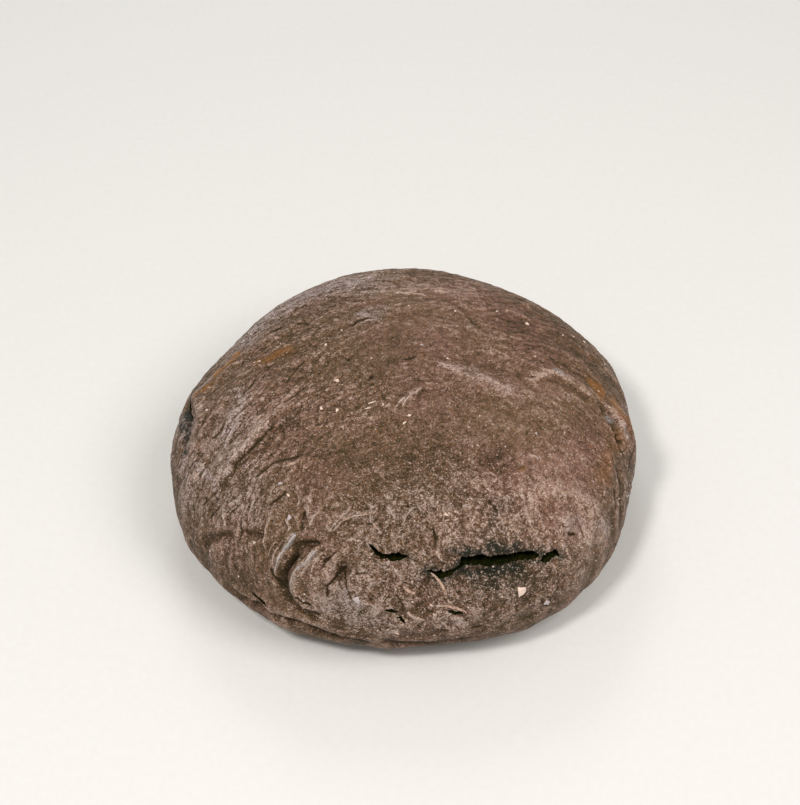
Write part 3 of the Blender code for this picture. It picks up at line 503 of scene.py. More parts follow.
    "bulge, near edge": (0.5, 0.9, 1.2, ((0.6, 36.7), (-0.3, 34.5), (-1.1, 32), (-1.8, 30.4))),
    "bulge, far edge": (0.6, 1.2, 1.2, ((-0.5, 28.5), (-0.6, 24.1), (-1.3, 20.4), (-3.6, 21.7))),
    "fold between them": (-1.4, 1, 1, ((-5.1, 34.1), (-6.3, 31.5), (-7.3, 28.4), (-8.6, 25.5))),
    "ridge by that fold": (0.6, 0.8, 0.8, ((-6.5, 35.5), (-7.5, 32.4), (-8.5, 29.5))),
    "small right ridge": (0.6, 0.8, 0.8, ((-36.6, 54.1), (-35.1, 53.1), (-35.1, 51.5))),
    "right rim streak 1": (-0.6, 0.8, 0.8, ((-16.3, 29.3), (-18.4, 26.9), (-20.3, 24.2))),
    "right rim streak 2": (-0.7, 0.8, 0.8, ((-5.8, 20.6), (-8.7, 17.5), (-13, 16.7))),
    "ring": (-0.9, 0.45, 0.45, (
        (-54.2, 3.8), (-54.5, 1.8), (-55.4, 2), (-56.3, 4.2), (-56.7, 6.9), (-56.3, 8.6), (-55.5, 8.5),
        (-54.6, 6.6), (-54.2, 3.8), (-54.5, 1.8), (-55.4, 2), (-56.3, 4.2),
    )),
}

# ---------------------------------------------------------------- dust, colour, painted highlights and painted shade on the skin

# Where something lies on the crust: strength, half width in mm, places along it
FLOUR = {  # baked flour
    "crest of the left crease": (1.7, 4.2, ((-167, 60), (-162, 54), (-158, 47), (-154, 40))),
    "below the left crest": (1.2, 9, ((-177, 52), (-168, 47), (-163, 42), (-157, 34))),
    "left rim": (0.45, 12, ((170, 42), (-177, 30), (-168, 25), (-158, 23), (-150, 18))),
    "far left rim": (1.1, 13, ((152, 33), (144, 31), (134, 34), (125, 37), (113, 40), (98, 44))),
    "far crest": (1.6, 9, ((100, 54), (90, 54), (76, 52), (66, 49))),
    "left fold, outer ridge": (0.8, 1.4, ((-122.6, 39), (-123, 34), (-124, 28), (-123.4, 22))),
    "left fold, inner ridge": (0.8, 1.5, (
        (-114.5, 37), (-116.5, 33), (-118.2, 28), (-118.6, 20), (-116, 14),
    )),
    "arched ridge": (0.7, 3, ((-115.5, 41), (-113.5, 44.5), (-110, 47), (-105, 48), (-100, 45))),
    "winding ridge": (0.7, 2.6, ((-131, 52), (-127.5, 48.5), (-123.5, 47.5), (-120, 41))),
    "crown ridge": (2.2, 3.6, ((23, 81), (7, 75), (-1, 70), (-8, 66))),
    "arched ridge on the right": (0.9, 2.6, (
        (-2, 60), (3.3, 57), (6, 55.5), (8.2, 53.5), (7.6, 51.5), (5.2, 49.7),
    )),
    "right leg of that arch": (0.35, 3, ((5, 49.7), (0.5, 47.2), (-2.7, 44.6))),
    "right side": (1.0, 17, ((-51, 53), (-40, 48), (-29, 42), (-20, 39))),
    "left shoulder": (0.35, 12, ((-150, 40), (-142, 36), (-136, 41))),
    "right side, lower": (1.0, 13, ((-48, 41), (-38, 38), (-30, 34))),
    "far top": (0.35, 14, ((68, 43), (53, 45), (36, 48), (24, 48))),
    "crown streak": (0.8, 2.6, ((-95, 80), (-86, 82), (-70, 84), (-32, 85))),
    "right shoulder": (0.55, 15, ((-41, 43), (-37, 35), (-35, 24))),
    "above the tear": (1.1, 11, ((-84, 52), (-78, 46), (-69, 41))),
    "left front": (1.3, 11, ((-112, 24), (-107, 16), (-101, 16), (-97, 10))),
    "under the second tear": (0.5, 3, ((-100, 35), (-97, 33), (-93, 34))),
    "front": (0.6, 12, ((-94, 8), (-80, 8), (-66, 12))),
    "front, middle": (0.9, 6, ((-85, 17), (-78, 15))),
    "right side, low": (2.1, 15, ((-44, 44), (-36, 34), (-38, 24))),
    "right front": (1.2, 11, ((-50, 36), (-49, 28))),
    "right shoulder, low": (0.5, 12, ((-38, 31), (-38, 24))),
    "over the tear, wide": (0.8, 10, ((-80, 43), (-69, 41), (-58, 39))),
    "left of the second tear": (1.0, 10, ((-101, 43), (-105, 38), (-109, 31))),
    "right of the second tear": (1.3, 6, ((-103, 29), (-93, 32), (-83, 31))),
    "left crest, lower": (1.0, 8, ((-160, 53), (-150, 48), (-145, 44))),
    "right of the crown ridge": (0.7, 10, ((20, 72), (0, 62), (-3, 52))),
    "middle": (0.5, 8, ((-77, 52), (-57, 60))),
    "left of the middle": (0.45, 14, ((-170, 62), (-156, 56), (-138, 54), (-124, 47))),
}
LILAC = {  # cool grey dust
    "far left": (0.7, 6, ((122, 43), (119, 48))),
    "far middle": (0.9, 5, ((105, 65), (114, 66))),
    "left shoulder": (0.8, 7, ((-177, 50), (-168, 47), (-163, 44))),
    "left rim": (0.6, 10, ((-177, 27), (-165, 25), (-155, 20))),
    "left front": (0.8, 7, ((-107, 20), (-102, 14))),
    "right rim": (0.6, 3.5, ((-44, 32), (-41, 30))),
    "right rim, lower": (0.8, 4, ((-31, 18), (-33, 21))),
    "far left rim": (1.0, 12, ((152, 36), (144, 34), (134, 37), (122, 42), (108, 48))),
    "crown ridge": (0.3, 3.4, ((23, 81), (7, 75), (-1, 70), (-4, 67))),
    "left side": (0.38, 17, ((-165, 46), (-152, 40), (-142, 38))),
    "left plates": (0.9, 3.0, ((-162.6, 30.1), (-154.9, 33.5), (-147.9, 32.6))),
    "front": (0.6, 3, ((-80.3, 9.4), (-77.8, 10.6), (-76.6, 9.6))),
    "front, left": (0.5, 5, ((-99, 9), (-95, 5))),
}
OCHRE = {  # shiny caramel patches
    "left streak": (3.2, 2.2, ((161.5, 39.3), (164.6, 37.8), (166.8, 35.4))),
    "left streak, lower": (1.4, 1.5, ((170, 36), (172, 33.7), (173, 30.5))),
    "far left band": (0.6, 2.6, ((165, 51), (162, 53.5), (158, 57.5))),
    "right patch": (1.9, 3.0, ((7.4, 40), (4.6, 38.4))),
    "right patch, lower": (3.6, 3.8, ((2.4, 30), (2.0, 26), (0.8, 22))),
    "right patch, between": (0.5, 3.2, ((4, 36), (3.2, 34), (3, 32))),
    "right bulge": (0.9, 3.4, ((0.5, 31), (-1.0, 27), (-2.6, 23))),
    "right rim": (0.3, 6.0, ((-9, 30), (-14, 30), (-21, 30))),
    "orange flecks": (1.8, 0.9, ((-45.5, 52.9), (-44.7, 53.2), (-43.2, 53.5))),
}
CHAR_AND_SHADE = {  # burnt crust round the tears, with painted shade under the main tear and in the left rim seam
    "over the tear": (1.2, 4.0, ((-75.7, 38), (-73, 36.6), (-70, 35.8), (-65, 35.4), (-60, 34.2))),
    "haze over the tear": (0.25, 9.0, ((-74, 39), (-67, 40), (-60, 39))),
    "over the tear, higher": (0.45, 5.0, ((-65.4, 39.2), (-62.5, 43.1), (-58.1, 47.3))),
    "tongue over the tear": (0.3, 3.4, ((-69.2, 38.6), (-66.6, 42.6))),
    "under the tear": (1.3, 3.0, (
        (-73.5, 29.6), (-70.7, 28), (-68, 27.2), (-65.5, 26.8), (-62.8, 26.8), (-60.8, 27),
    )),
    "haze under the tear": (0.75, 6.0, ((-71, 25.5), (-66, 24.5), (-62, 24.5))),
    "short tear": (0.6, 3.0, ((-55, 27), (-50, 26))),
    "left rim seam": (1.5, 2.6, ((172.4, 24.9), (171, 24.2), (-178, 25), (-173.6, 25.6), (-170, 25.6))),
}
RUSSET = {  # redder crust
    "right side": (1.0, 18, ((-51, 53), (-40, 48), (-29, 42), (-20, 39))),
    "right shoulder": (0.9, 14, ((-49, 39), (-42, 34), (-36, 32))),
    "right bulge": (1.5, 5.0, ((-1.2, 30), (-2.0, 26), (-3.6, 22))),
    "far top": (0.8, 22, ((68, 50), (53, 52), (36, 54), (20, 56))),
    "crown": (0.7, 20, ((-60, 80), (0, 84), (60, 76))),
}
BARE_AND_SHADE = {  # less flour than elsewhere; in the left fold, the dimple, at the low left rim and along the front edge, painted shade
    "right of the middle": (1.8, 8, ((-50, 58), (-44, 58))),
    "behind the middle": (0.7, 7, ((110, 78), (100, 76))),
    "right bulge": (1.5, 4.5, ((-1.2, 30), (-2.0, 26), (-3.6, 22))),
    "round the tear": (0.8, 9, ((-76, 34), (-68, 33), (-60, 32))),
    "far right": (1.1, 14, ((12, 36), (20, 42), (36, 42), (50, 44))),
    "behind the crown ridge": (0.5, 6, ((45, 75), (34, 73), (17, 71), (3, 63))),
    "middle": (0.78, 11, ((-138, 58), (-127, 60), (-118, 63), (-107, 65), (-92, 64), (-73, 66))),
    "smudge 1": (1.3, 3.5, ((156.9, 74.4), (160, 75.5))),
    "smudge 2": (1.2, 4.0, ((-177.4, 81.7), (-170, 82))),
    "smudge 3": (1.2, 3.0, ((130.6, 83.1), (150.6, 83.4))),
    "smudge 4": (1.1, 3.0, ((81.3, 84.2), (72.9, 80.3))),
    "under the left crest": (0.8, 3.5, ((-161.7, 60.3), (-157.3, 56), (-151.6, 51.3))),
    "middle, front": (0.4, 10, ((-85, 61), (-80, 58))),
    # painted shade in the fold's groove, on its dark top and in the dimple
    "left fold": (2.2, 2.6, ((-119.5, 36), (-121.5, 30), (-121.5, 21), (-118, 13))),
    "top of the left fold": (2.4, 1.6, ((-120.6, 35.8), (-118, 36.4), (-115.4, 37.8))),
    "dimple by the fold": (2.4, 2.4, ((-106.6, 31.4), (-107.6, 28.6))),
    # painted shade at the low left rim
    "left rim": (0.7, 9, ((-170, 10), (-158, 8), (-147, 8), (-140, 0), (-134, -10))),
    "left crease": (0.5, 6, ((-160, 64), (-153, 54), (-148, 42))),
    # painted shade along the front edge
    "front edge": (1.0, 11, ((-112, -8), (-100, -10), (-88, -12), (-74, -12), (-60, -12))),
    "right rim": (0.7, 4, ((-12, 27), (-18, 22), (-23, 16))),
    "right of the crown ridge": (1.4, 9, ((41, 54), (28, 53), (17, 50))),
    "right shoulder": (0.6, 8, ((20, 38), (6, 44))),
    "right shoulder, lower": (1.2, 8, ((-12, 43), (-17, 40))),
    "right side": (1.2, 5, ((-45, 40), (-41, 38))),
    "front right": (0.9, 6, ((-64, 15), (-58, 16))),
    "between crown and right side": (0.9, 6, ((-47, 56), (-41, 53))),
    "under the tear": (1.0, 5.5, ((-66, 26), (-58, 25))),
}
CALM = {  # smoother skin with fewer cracks and grains
    "over the tear": (0.8, 11, ((-79, 42), (-68, 42), (-58, 40))),
    "far right": (1.2, 34, ((80, 62), (50, 58), (30, 48), (8, 50))),
    "right side": (0.8, 24, ((-24, 60), (-34, 50), (-44, 40))),
}
PAINTED_HIGHLIGHTS = {  # painted highlights: small white spots where the lamps would glint
    "right bulge": (1.0, 0.85, ((-2.7, 33.6), (-3.7, 32.4))),
    "right bulge, far edge": (0.45, 0.8, ((-3.8, 30), (-5.0, 28.2), (-6.4, 25.4))),
    "left fold, outer ridge": (1.1, 0.75, ((-122.8, 38.0), (-122.7, 36.3), (-122.8, 34.3), (-123.3, 32.3))),
    "left fold, outer ridge, foot": (0.7, 0.6, ((-123.6, 31), (-124, 27), (-123.8, 24))),
    "left fold, inner ridge": (1.0, 0.75, ((-115.3, 35.5), (-116.6, 32.2), (-117.8, 29.5))),
    "left fold, inner ridge, foot": (0.6, 0.6, ((-118.4, 27), (-118.8, 22), (-118.4, 16.5))),
    "right ridge, end": (0.6, 1.6, ((9.5, 53), (8.2, 51.5))),
}
SHEEN = {  # a gloss over the crust
    "right bulge": (0.3, 2.8, ((-2.4, 32), (-4.6, 28), (-6.0, 24))),
    "right patch": (0.35, 3.4, ((9, 39), (5, 34), (2.6, 28))),
    "left streak": (0.5, 2.4, ((161.5, 39.3), (166.3, 33.6), (173, 30.5))),
    "right rim": (0.3, 6, ((-12, 26), (-21, 24))),
}
PATCHES = {
    "flour": FLOUR,
    "lilac": LILAC,
    "ochre": OCHRE,
    "russet": RUSSET,
    "bare_and_shade": BARE_AND_SHADE,
    "calm": CALM,
    "sheen": SHEEN,
}
# Painted shade along the lips of a tear: strength and half width in mm
LIP_SHADE = {"main tear": (1.3, 4.0), "short tear": (0.9, 2.4), "second tear": (0.55, 1.8)}
PATCH_SWAY_SIZE = 9 * MM
PATCH_SWAY = 4.0 * MM
PATCH_REACH = 2.6  # half widths from its middle at which a patch has died out
PATCH_UNEVENNESS = 0.5
PATCH_UNEVENNESS_SIZE = 6 * MM
RIDGE_ROUNDS = 10  # rounds of blur that tell a fine ridge from the crust round it
RIDGE_HEIGHT = 0.28 * MM
CREST_ROUNDS = 110  # and a crest
CREST_HEIGHT = 0.9 * MM
EDGE_SPREAD = 1.8  # how much wider than its relief the painted light and shade of a small line is: lighter on its crest, darker in its groove
EDGE_HEIGHT = 0.8 * MM
BASE_SHADE_LATITUDES = (-8, -40)  # latitudes between which painted shade darkens the crust towards its base


# ---------------------------------------------------------------- settings


def skin_depth(name, description, default):
    return FloatProperty(
        name=name, description=description, default=default, min=0.0, subtype="DISTANCE", unit="LENGTH"
    )


class LoafRelief(PropertyGroup):
    """Depths of the relief that the skin carries on top of the loaf's form"""

    wrinkle: skin_depth("Wrinkles", "Depth of the wrinkles along the stretch of the skin", 0.45 * MM)
    grit: skin_depth("Grit", "Depth of the even roughness all over the skin", 0.22 * MM)
    torn: skin_depth("Torn front", "Depth of the ragged relief round the tear", 0.55 * MM)
    grain: skin_depth("Grain", "Depth of the finest grain, shaded and not modelled", 1.25 * MM)


def crust_tint(name, description, default):
    return FloatVectorProperty(
        name=name, description=description, default=default, size=4, min=0.0, max=1.0, subtype="COLOR"
    )


class LoafColours(PropertyGroup):
    """Colours of the crust and of what lies on it, with the colours of its painted highlights and painted
    shade
    """

    # also the colour of the painted shade in creases, hollows and towards the base
    deep: crust_tint("Deep crust", "Dark crust, also painted shade in pits, creases and towards the base", (0.034, 0.021, 0.004, 1))
    brown: crust_tint("Brown crust", "Bare crust between the flour", (0.146, 0.080, 0.042, 1))
    russet: crust_tint("Russet crust", "Redder parts of the crust", (0.184, 0.089, 0.061, 1))
    flour: crust_tint("Flour", "Baked flour on the ridges", (0.64, 0.45, 0.34, 1))
    lilac: crust_tint("Grey dust", "Cool grey dust", (0.50, 0.43, 0.43, 1))
    ochre: crust_tint("Ochre", "Shiny caramel patches", (0.33, 0.125, 0.016, 1))
    # also the colour of the painted glints and of the painted highlights on the small lines' crests
    bran: crust_tint("Bran", "Pale chips and bran", (0.80, 0.62, 0.52, 1))
    # colour of the painted highlights
    painted_highlight: crust_tint("Painted highlights", "White highlights painted on the crust", (0.62, 0.60, 0.62, 1))
    char: crust_tint("Char and shade", "Burnt crust and painted shade by the tears", (0.020, 0.020, 0.011, 1))
    # painted shade: near black, darker than the real crumb, for the shade inside the tears
    crumb_in_shade: crust_tint("Crumb", "Dark crumb inside the tears", (0.005, 0.009, 0.002, 1))


# ---------------------------------------------------------------- form of the crust


def smoothstep(low, high, value):
    share = np.clip((value - low) / (high - low), 0.0, 1.0)
    return share * share * (3.0 - 2.0 * share)


def outline_radius(azimuth):
    """Plan radius of the loaf at its widest level, for an array of azimuths in radians."""
    share = np.ones_like(azimuth)
    for times, reach, first in LOBES:
        share = share + reach * np.cos(times * (azimuth - math.radians(first)))
    return LOAF_RADIUS * share


def smooth_form(directions):
    """Points of the smooth loaf in the given directions, an array of unit vectors."""
    x, y, z = directions.T
    flat = np.hypot(x, y)
    dome = z >= 0
    fullness = np.where(dome, DOME_FULLNESS, SKIRT_FULLNESS)
    rise = np.where(dome, LOAF_HEIGHT - WIDEST_LEVEL, SKIRT_REACH)
    scale = (flat**fullness + np.abs(z) ** fullness) ** (-1.0 / fullness)
    out = outline_radius(np.arctan2(y, x)) * scale
    return np.stack([out * x, out * y, WIDEST_LEVEL + rise * scale * z], axis=1)


def directions_of(points):
    """The directions in which points lie, so that smooth_form finds the crust under or over them."""
    x, y, z = points.T
    radius = outline_radius(np.arctan2(y, x))
    lift = z - WIDEST_LEVEL
    rise = np.where(lift >= 0, LOAF_HEIGHT - WIDEST_LEVEL, SKIRT_REACH)
    return unit(np.stack([x / radius, y / radius, lift / rise], axis=1))


def outward(directions, step=1e-3):
    """Unit normals of the smooth loaf, from two short steps along the surface."""
    up = np.array([0.0, 0.0, 1.0])
    side = np.cross(up, directions)
    side /= np.maximum(np.linalg.norm(side, axis=1, keepdims=True), 1e-9)
    rise = np.cross(directions, side)
    here = smooth_form(directions)
    across = smooth_form(unit(directions + step * side)) - here
    upward = smooth_form(unit(directions + step * rise)) - here
    return unit(np.cross(across, upward))


def unit(vectors):
    return vectors / np.maximum(np.linalg.norm(vectors, axis=1, keepdims=True), 1e-12)


def directions_at(places):
    turn, tilt = np.radians(np.array(places, dtype=float)[:, :2]).T
    return np.stack([np.cos(tilt) * np.cos(turn), np.cos(tilt) * np.sin(turn), np.sin(tilt)], axis=1)


def on_crust(places):
    """Points and normals of the smooth loaf at (azimuth, latitude) places."""
    directions = directions_at(places)
    return smooth_form(directions), outward(directions)


def curve_through(places, steps=4):
    """The places with extra ones between them, along a smooth curve. Azimuths may pass 180."""
    knots = np.array(places, dtype=float)
    knots[:, 0] = np.unwrap(knots[:, 0], period=360)
    knots = np.vstack([knots[:1], knots, knots[-1:]])
    dense = []
    for before, start, end, after in zip(knots, knots[1:], knots[2:], knots[3:]):
        for share in np.arange(steps) / steps:
            dense.append(
                0.5
                * (
                    (-share + 2 * share**2 - share**3) * before
                    + (2 - 5 * share**2 + 3 * share**3) * start
                    + (share + 4 * share**2 - 3 * share**3) * end
                    + (share**3 - share**2) * after
                )
            )
    return np.array(dense + [knots[-1]])


def noise_at(points, size, layer=0.0):
    """Smooth noise, about -1 to 1, of the given grain size at each point."""
    shift = np.array([3.1, 7.4, 1.9]) + 17.3 * layer
    return np.array([noise.noise(place) for place in (points / size + shift).tolist()])


def swayed(points, size=SWAY_SIZE, reach=SWAY):
    """The points moved a little by noise, so that what is measured from them wanders."""
    noise.seed_set(SWAY_SEED)
    sway = [noise.noise_vector(place) for place in (points / size).tolist()]
    return points + reach * np.array(sway)


def distance_to_line(points, line, normals):
    """For each point its distance to a polyline, the share along it, and whether it lies to the left."""
    nearest = np.full(len(points), np.inf)
    along = np.zeros(len(points))
    to_left = np.zeros(len(points), dtype=bool)
    spans = len(line) - 1
    for index in range(spans):
        start = line[index]
        span = line[index + 1] - start
        offset = points - start
        share = np.clip(offset @ span / (span @ span), 0.0, 1.0)
        distance = np.linalg.norm(offset - share[:, None] * span, axis=1)
        closer = distance < nearest
        nearest[closer] = distance[closer]
        along[closer] = (index + share[closer]) / spans
        to_left[closer] = (offset @ np.cross(normals[index], span) > 0)[closer]
    return nearest, along, to_left


def close_to(points, line, reach):
    return np.all((points > line.min(axis=0) - reach) & (points < line.max(axis=0) + reach), axis=1)


def add_lines(height, points, lines, spread=1.0):
    strength = 1.0 + LINE_UNEVENNESS * noise_at(points, 0.8 * SWAY_SIZE, 1)
    for rise, left, right, places in lines.values():
        line, normals = on_crust(curve_through(places))
        near = close_to(points, line, LINE_REACH * MM * spread * max(left, right))
        distance, along, to_left = distance_to_line(points[near], line, normals)
        half_width = spread * MM * np.where(to_left, left, right)
        fade = smoothstep(0.0, LINE_END, np.minimum(along, 1.0 - along) + LINE_START)
        height[near] += rise * MM * strength[near] * fade * np.exp(-((distance / half_width) ** 2))


def distance_across(points, lines, widest=3.0):
    """Distance in mm from the nearest line, less than 0 on its right, for a finish to draw it crisply."""
    across = np.full(len(points), widest)
    for _, _, _, places in lines.values():
        line, normals = on_crust(curve_through(places))
        near = np.flatnonzero(close_to(points, line, widest * MM))
        distance, _, to_left = distance_to_line(points[near], line, normals)
        distance /= MM
        closer = near[distance < np.abs(across[near])]
        signed = np.where(to_left, distance, -distance)
        across[closer] = signed[distance < np.abs(across[near])]
    return across


def add_spots(height, points):
    for rise, half_width, place in SPOTS.values():
        centre = on_crust([place])[0][0]
        distance = np.linalg.norm(points - centre, axis=1)
        height += rise * MM * np.exp(-((distance / (half_width * MM)) ** 2))


def flow_coordinates(points):
    """Distance from the flow centre and the turn round it, so that wrinkles run in arcs."""
    centre, normal = (array[0] for array in on_crust([FLOW_CENTRE]))
    side = np.cross((0.0, 0.0, 1.0), normal)
    side /= np.linalg.norm(side)
    rise = np.cross(normal, side)
    offset = points - centre
    return np.linalg.norm(offset, axis=1), np.arctan2(offset @ rise, offset @ side)


def arc_noise(distance, turn, spacing, turns, layer, drift=0.0):
    """Noise drawn out into arcs round the flow centre, the given spacing apart."""
    arcs = np.stack([distance / spacing + drift, turns * np.cos(turn), turns * np.sin(turn)], axis=1)
    return noise_at(arcs, 1.0, layer)


def roughness_at(points, latitudes):
    distance, _ = flow_coordinates(points)
    return (1.0 - smoothstep(*ROUGH_REACH, distance)) * smoothstep(*ROUGH_FADE, latitudes)


def add_uneven_dough(height, points, latitudes):
    lumps = noise_at(points, LUMP_SIZE)
    distance, turn = flow_coordinates(points)
    rough = roughness_at(points, latitudes)
    wrinkles = arc_noise(distance, turn, WRINKLE_SPACING, WRINKLE_TURNS, 2, WRINKLE_DRIFT * lumps)
    height += LUMP_HEIGHT * lumps
    height += WRINKLE_HEIGHT * wrinkles * (1.0 - WRINKLE_LOSS * rough)
    height += ROUGH_HEIGHT * rough * noise_at(points, ROUGH_SIZE, 3)


def crumple_at(points, latitudes):
    distance, _ = flow_coordinates(points)
    return (1.0 - smoothstep(*CRUMPLE_REACH, distance)) * smoothstep(*ROUGH_FADE, latitudes)


def stretch_at(points, latitudes):
    """How clearly the skin is drawn out in streaks: strong at the rim, weak in the middle and the front."""
    distance, _ = flow_coordinates(points)
    drawn = smoothstep(*DRAWN_REACH, distance) * smoothstep(*DRAWN_RISE, latitudes)
    for place, reach in UNDRAWN_PLACES:
        off = np.linalg.norm(points - on_crust([place])[0][0], axis=1)
        drawn = drawn * (1.0 - UNDRAWN_SHARE * np.exp(-((off / reach) ** 2)))
    return drawn


def add_fine_relief(height, points, latitudes, relief):
    distance, turn = flow_coordinates(points)
    stretch = stretch_at(points, latitudes)
    rough = crumple_at(points, latitudes)
    drift = STREAK_DRIFT * noise_at(points, STREAK_DRIFT_SIZE, 4)
    creases = np.abs(arc_noise(distance, turn, CREASE_SPACING, CREASE_TURNS, 5, drift))
    streaks = arc_noise(distance, turn, STREAK_SPACING, STREAK_TURNS, 6, drift)
    height += relief.wrinkle * stretch * (np.clip(3.0 * creases, 0.0, 1.0) - 0.6)
    height += 0.55 * relief.wrinkle * stretch * streaks
    height += relief.grit * noise_at(points, GRIT_SIZE, 7)
    height += 0.7 * relief.grit * noise_at(points, FINE_GRIT_SIZE, 8)
    folds = 1.0 - np.abs(noise_at(swayed(points, *FOLD_SWAY), FOLD_SIZE, 9)) * 2.4
    height += relief.torn * (0.12 + rough) * np.clip(folds, -0.3, 1.0)
    crumples = np.abs(noise_at(swayed(points, *CRUMPLE_SWAY), CRUMPLE_SIZE, 10))
    height += 0.75 * relief.torn * (0.25 + rough) * (np.clip(3.2 * crumples, 0.0, 1.0) - 0.6)


def crust_height(points, latitudes, relief):
    """How far the crust stands out from the smooth loaf at each point, in metres."""
    height = np.zeros(len(points))
    add_uneven_dough(height, points, latitudes)
    wandering = swayed(points)
    add_spots(height, wandering)
    add_lines(height, wandering, LINES)
    add_lines(height, swayed(points, FINE_SWAY_SIZE, FINE_SWAY), FINE_LINES)
    add_fine_relief(height, points, latitudes, relief)
    return height * smoothstep(*BASE_FADE, latitudes)


# ---------------------------------------------------------------- mesh of the crust

BALL_SUBDIVISIONS = 6
DRAWN_TO = (-92, 42)  # the ball's mesh is drawn towards this place, which makes it finer there
DRAW = 1.60  # how many times finer it gets
FINE_ABOVE = -14  # latitude above which its edges are halved
FINEST_ABOVE = 20  # and halved again
MOST_CORNERS = 59  # faces with more corners, such as the flat base, aren't cut into triangles
SHARP_ANGLE = 60  # edges that turn more than this, in degrees, show as sharp


def draw_mesh_to_front(bm):
    """Slides the ball's vertices along its surface towards the front, which keeps triangles even."""
    pole = directions_at([DRAWN_TO])[0]
    here = np.array([vert.co for vert in bm.verts])
    height = here @ pole
    side = unit(here - height[:, None] * pole)
    angle = 2.0 * np.arctan(np.tan(0.5 * np.arccos(np.clip(height, -1.0, 1.0))) / DRAW)
    moved = np.cos(angle)[:, None] * pole + np.sin(angle)[:, None] * side
    for vert, place in zip(bm.verts, moved):
        vert.co = place


def halve_edges(bm, above):
    """Halves every edge that lies wholly above the latitude, and keeps the mesh in triangles."""
    lowest = math.sin(math.radians(above))
    edges = [edge for edge in bm.edges if max(vert.co.z / vert.co.length for vert in edge.verts) > lowest]
    bmesh.ops.subdivide_edges(bm, edges=edges, cuts=1, use_grid_fill=True)
    bmesh.ops.triangulate(bm, faces=bm.faces)


def ball_mesh():
    bm = bmesh.new()
    bmesh.ops.create_icosphere(bm, subdivisions=BALL_SUBDIVISIONS, radius=1.0)
    draw_mesh_to_front(bm)
    halve_edges(bm, FINE_ABOVE)
    halve_edges(bm, FINEST_ABOVE)
    return bm


def shape_crust(bm, relief):
    directions = unit(np.array([vert.co for vert in bm.verts]))
    latitudes = np.degrees(np.arcsin(np.clip(directions[:, 2], -1.0, 1.0)))
    points = smooth_form(directions)
    points += outward(directions) * crust_height(points, latitudes, relief)[:, None]
    for vert, point in zip(bm.verts, points):
        vert.co = point


def cut_flat_base(bm):
    everything = bm.verts[:] + bm.edges[:] + bm.faces[:]
    bmesh.ops.bisect_plane(bm, geom=everything, plane_co=(0, 0, 0), plane_no=(0, 0, -1), clear_outer=True)
    rim = [edge for edge in bm.edges if edge.is_boundary]
    bmesh.ops.contextual_create(bm, geom=rim)
    for vert in {vert for edge in rim if edge.is_valid for vert in edge.verts}:
        vert.co.z = 0.0
    bmesh.ops.recalc_face_normals(bm, faces=bm.faces)


def object_from(bm, name):
    mesh = bpy.data.meshes.new(name)
    bm.to_mesh(mesh)
    bm.free()
    obj = bpy.data.objects.new(name, mesh)
    bpy.context.scene.collection.objects.link(obj)
    return obj


def apply_modifiers(obj):
    """Gives the object the mesh that its modifiers make, and removes them."""
    graph = bpy.context.evaluated_depsgraph_get()
    finished = bpy.data.meshes.new_from_object(obj.evaluated_get(graph))
    rough = obj.data
    obj.modifiers.clear()
    obj.data = finished
    bpy.data.meshes.remove(rough)


# ---------------------------------------------------------------- tears and flakes


def ring_of(bm, corners):
    """A closed loop of edges through the corners."""
    verts = [bm.verts.new(corner) for corner in corners]
    return [bm.edges.new(pair) for pair in zip(verts, verts[1:] + verts[:1])]


def loft(rings):
    """A closed bmesh skinned over the rings, with a face at each end."""
    bm = bmesh.new()
    loops = [ring_of(bm, corners) for corners in rings]
    for first, second in zip(loops, loops[1:]):
        bmesh.ops.bridge_loops(bm, edges=first + second)
    for end in (loops[0], loops[-1]):
        bmesh.ops.contextual_create(bm, geom=end)
    bmesh.ops.recalc_face_normals(bm, faces=bm.faces)
    return bm


def frame_along(places):
    """Points on the crust with the directions across the line and out of the crust."""
    points, normals = on_crust(places)
    ahead = unit(np.gradient(points, axis=0))
    across = unit(np.cross(ahead, normals))
    across *= np.where(across[:, 2:] < 0, -1.0, 1.0)
    return points, across, normals


def tear_cutter(name, depth, undercut, places):
    """A ragged wedge along the tear. It leans so that the crust above overhangs the opening."""
    dense = curve_through(places, TEAR_STEPS)
    points, across, normals = frame_along(dense)
    lean = math.radians(undercut)
    rings = []
    for (_, _, opening), point, up, normal in zip(dense, points, across, normals):
        opening = max(opening, LEAST_OPENING)
        inward = math.sin(lean) * up - math.cos(lean) * normal
        deep = depth * MM * min(1.0, TEAR_LEAST_DEPTH + TEAR_DEPTH_GAIN * opening)
        walls = []
        for side in (1.0, -1.0):
            wall = [point - TEAR_RUN_OUT * inward + side * 0.6 * opening * MM * up]
            for level in TEAR_LEVELS:
                width = opening * MM * (1.0 - (1.0 - TEAR_NARROWING) * level)
                place = point + level * deep * inward + side * 0.5 * width * up
                ragged = noise.noise(Vector(place / TEAR_RAGGED_SIZE) + Vector((side, 0, 0)))
                ragged += 0.7 * noise.noise(Vector(place / (0.4 * TEAR_RAGGED_SIZE)))
                wall.append(place + min(TEAR_RAGGED, 0.38 * opening * MM) * ragged * up)
            walls.append(wall)
        rings.append(walls[0] + walls[1][::-1])
    return object_from(loft(rings), name)


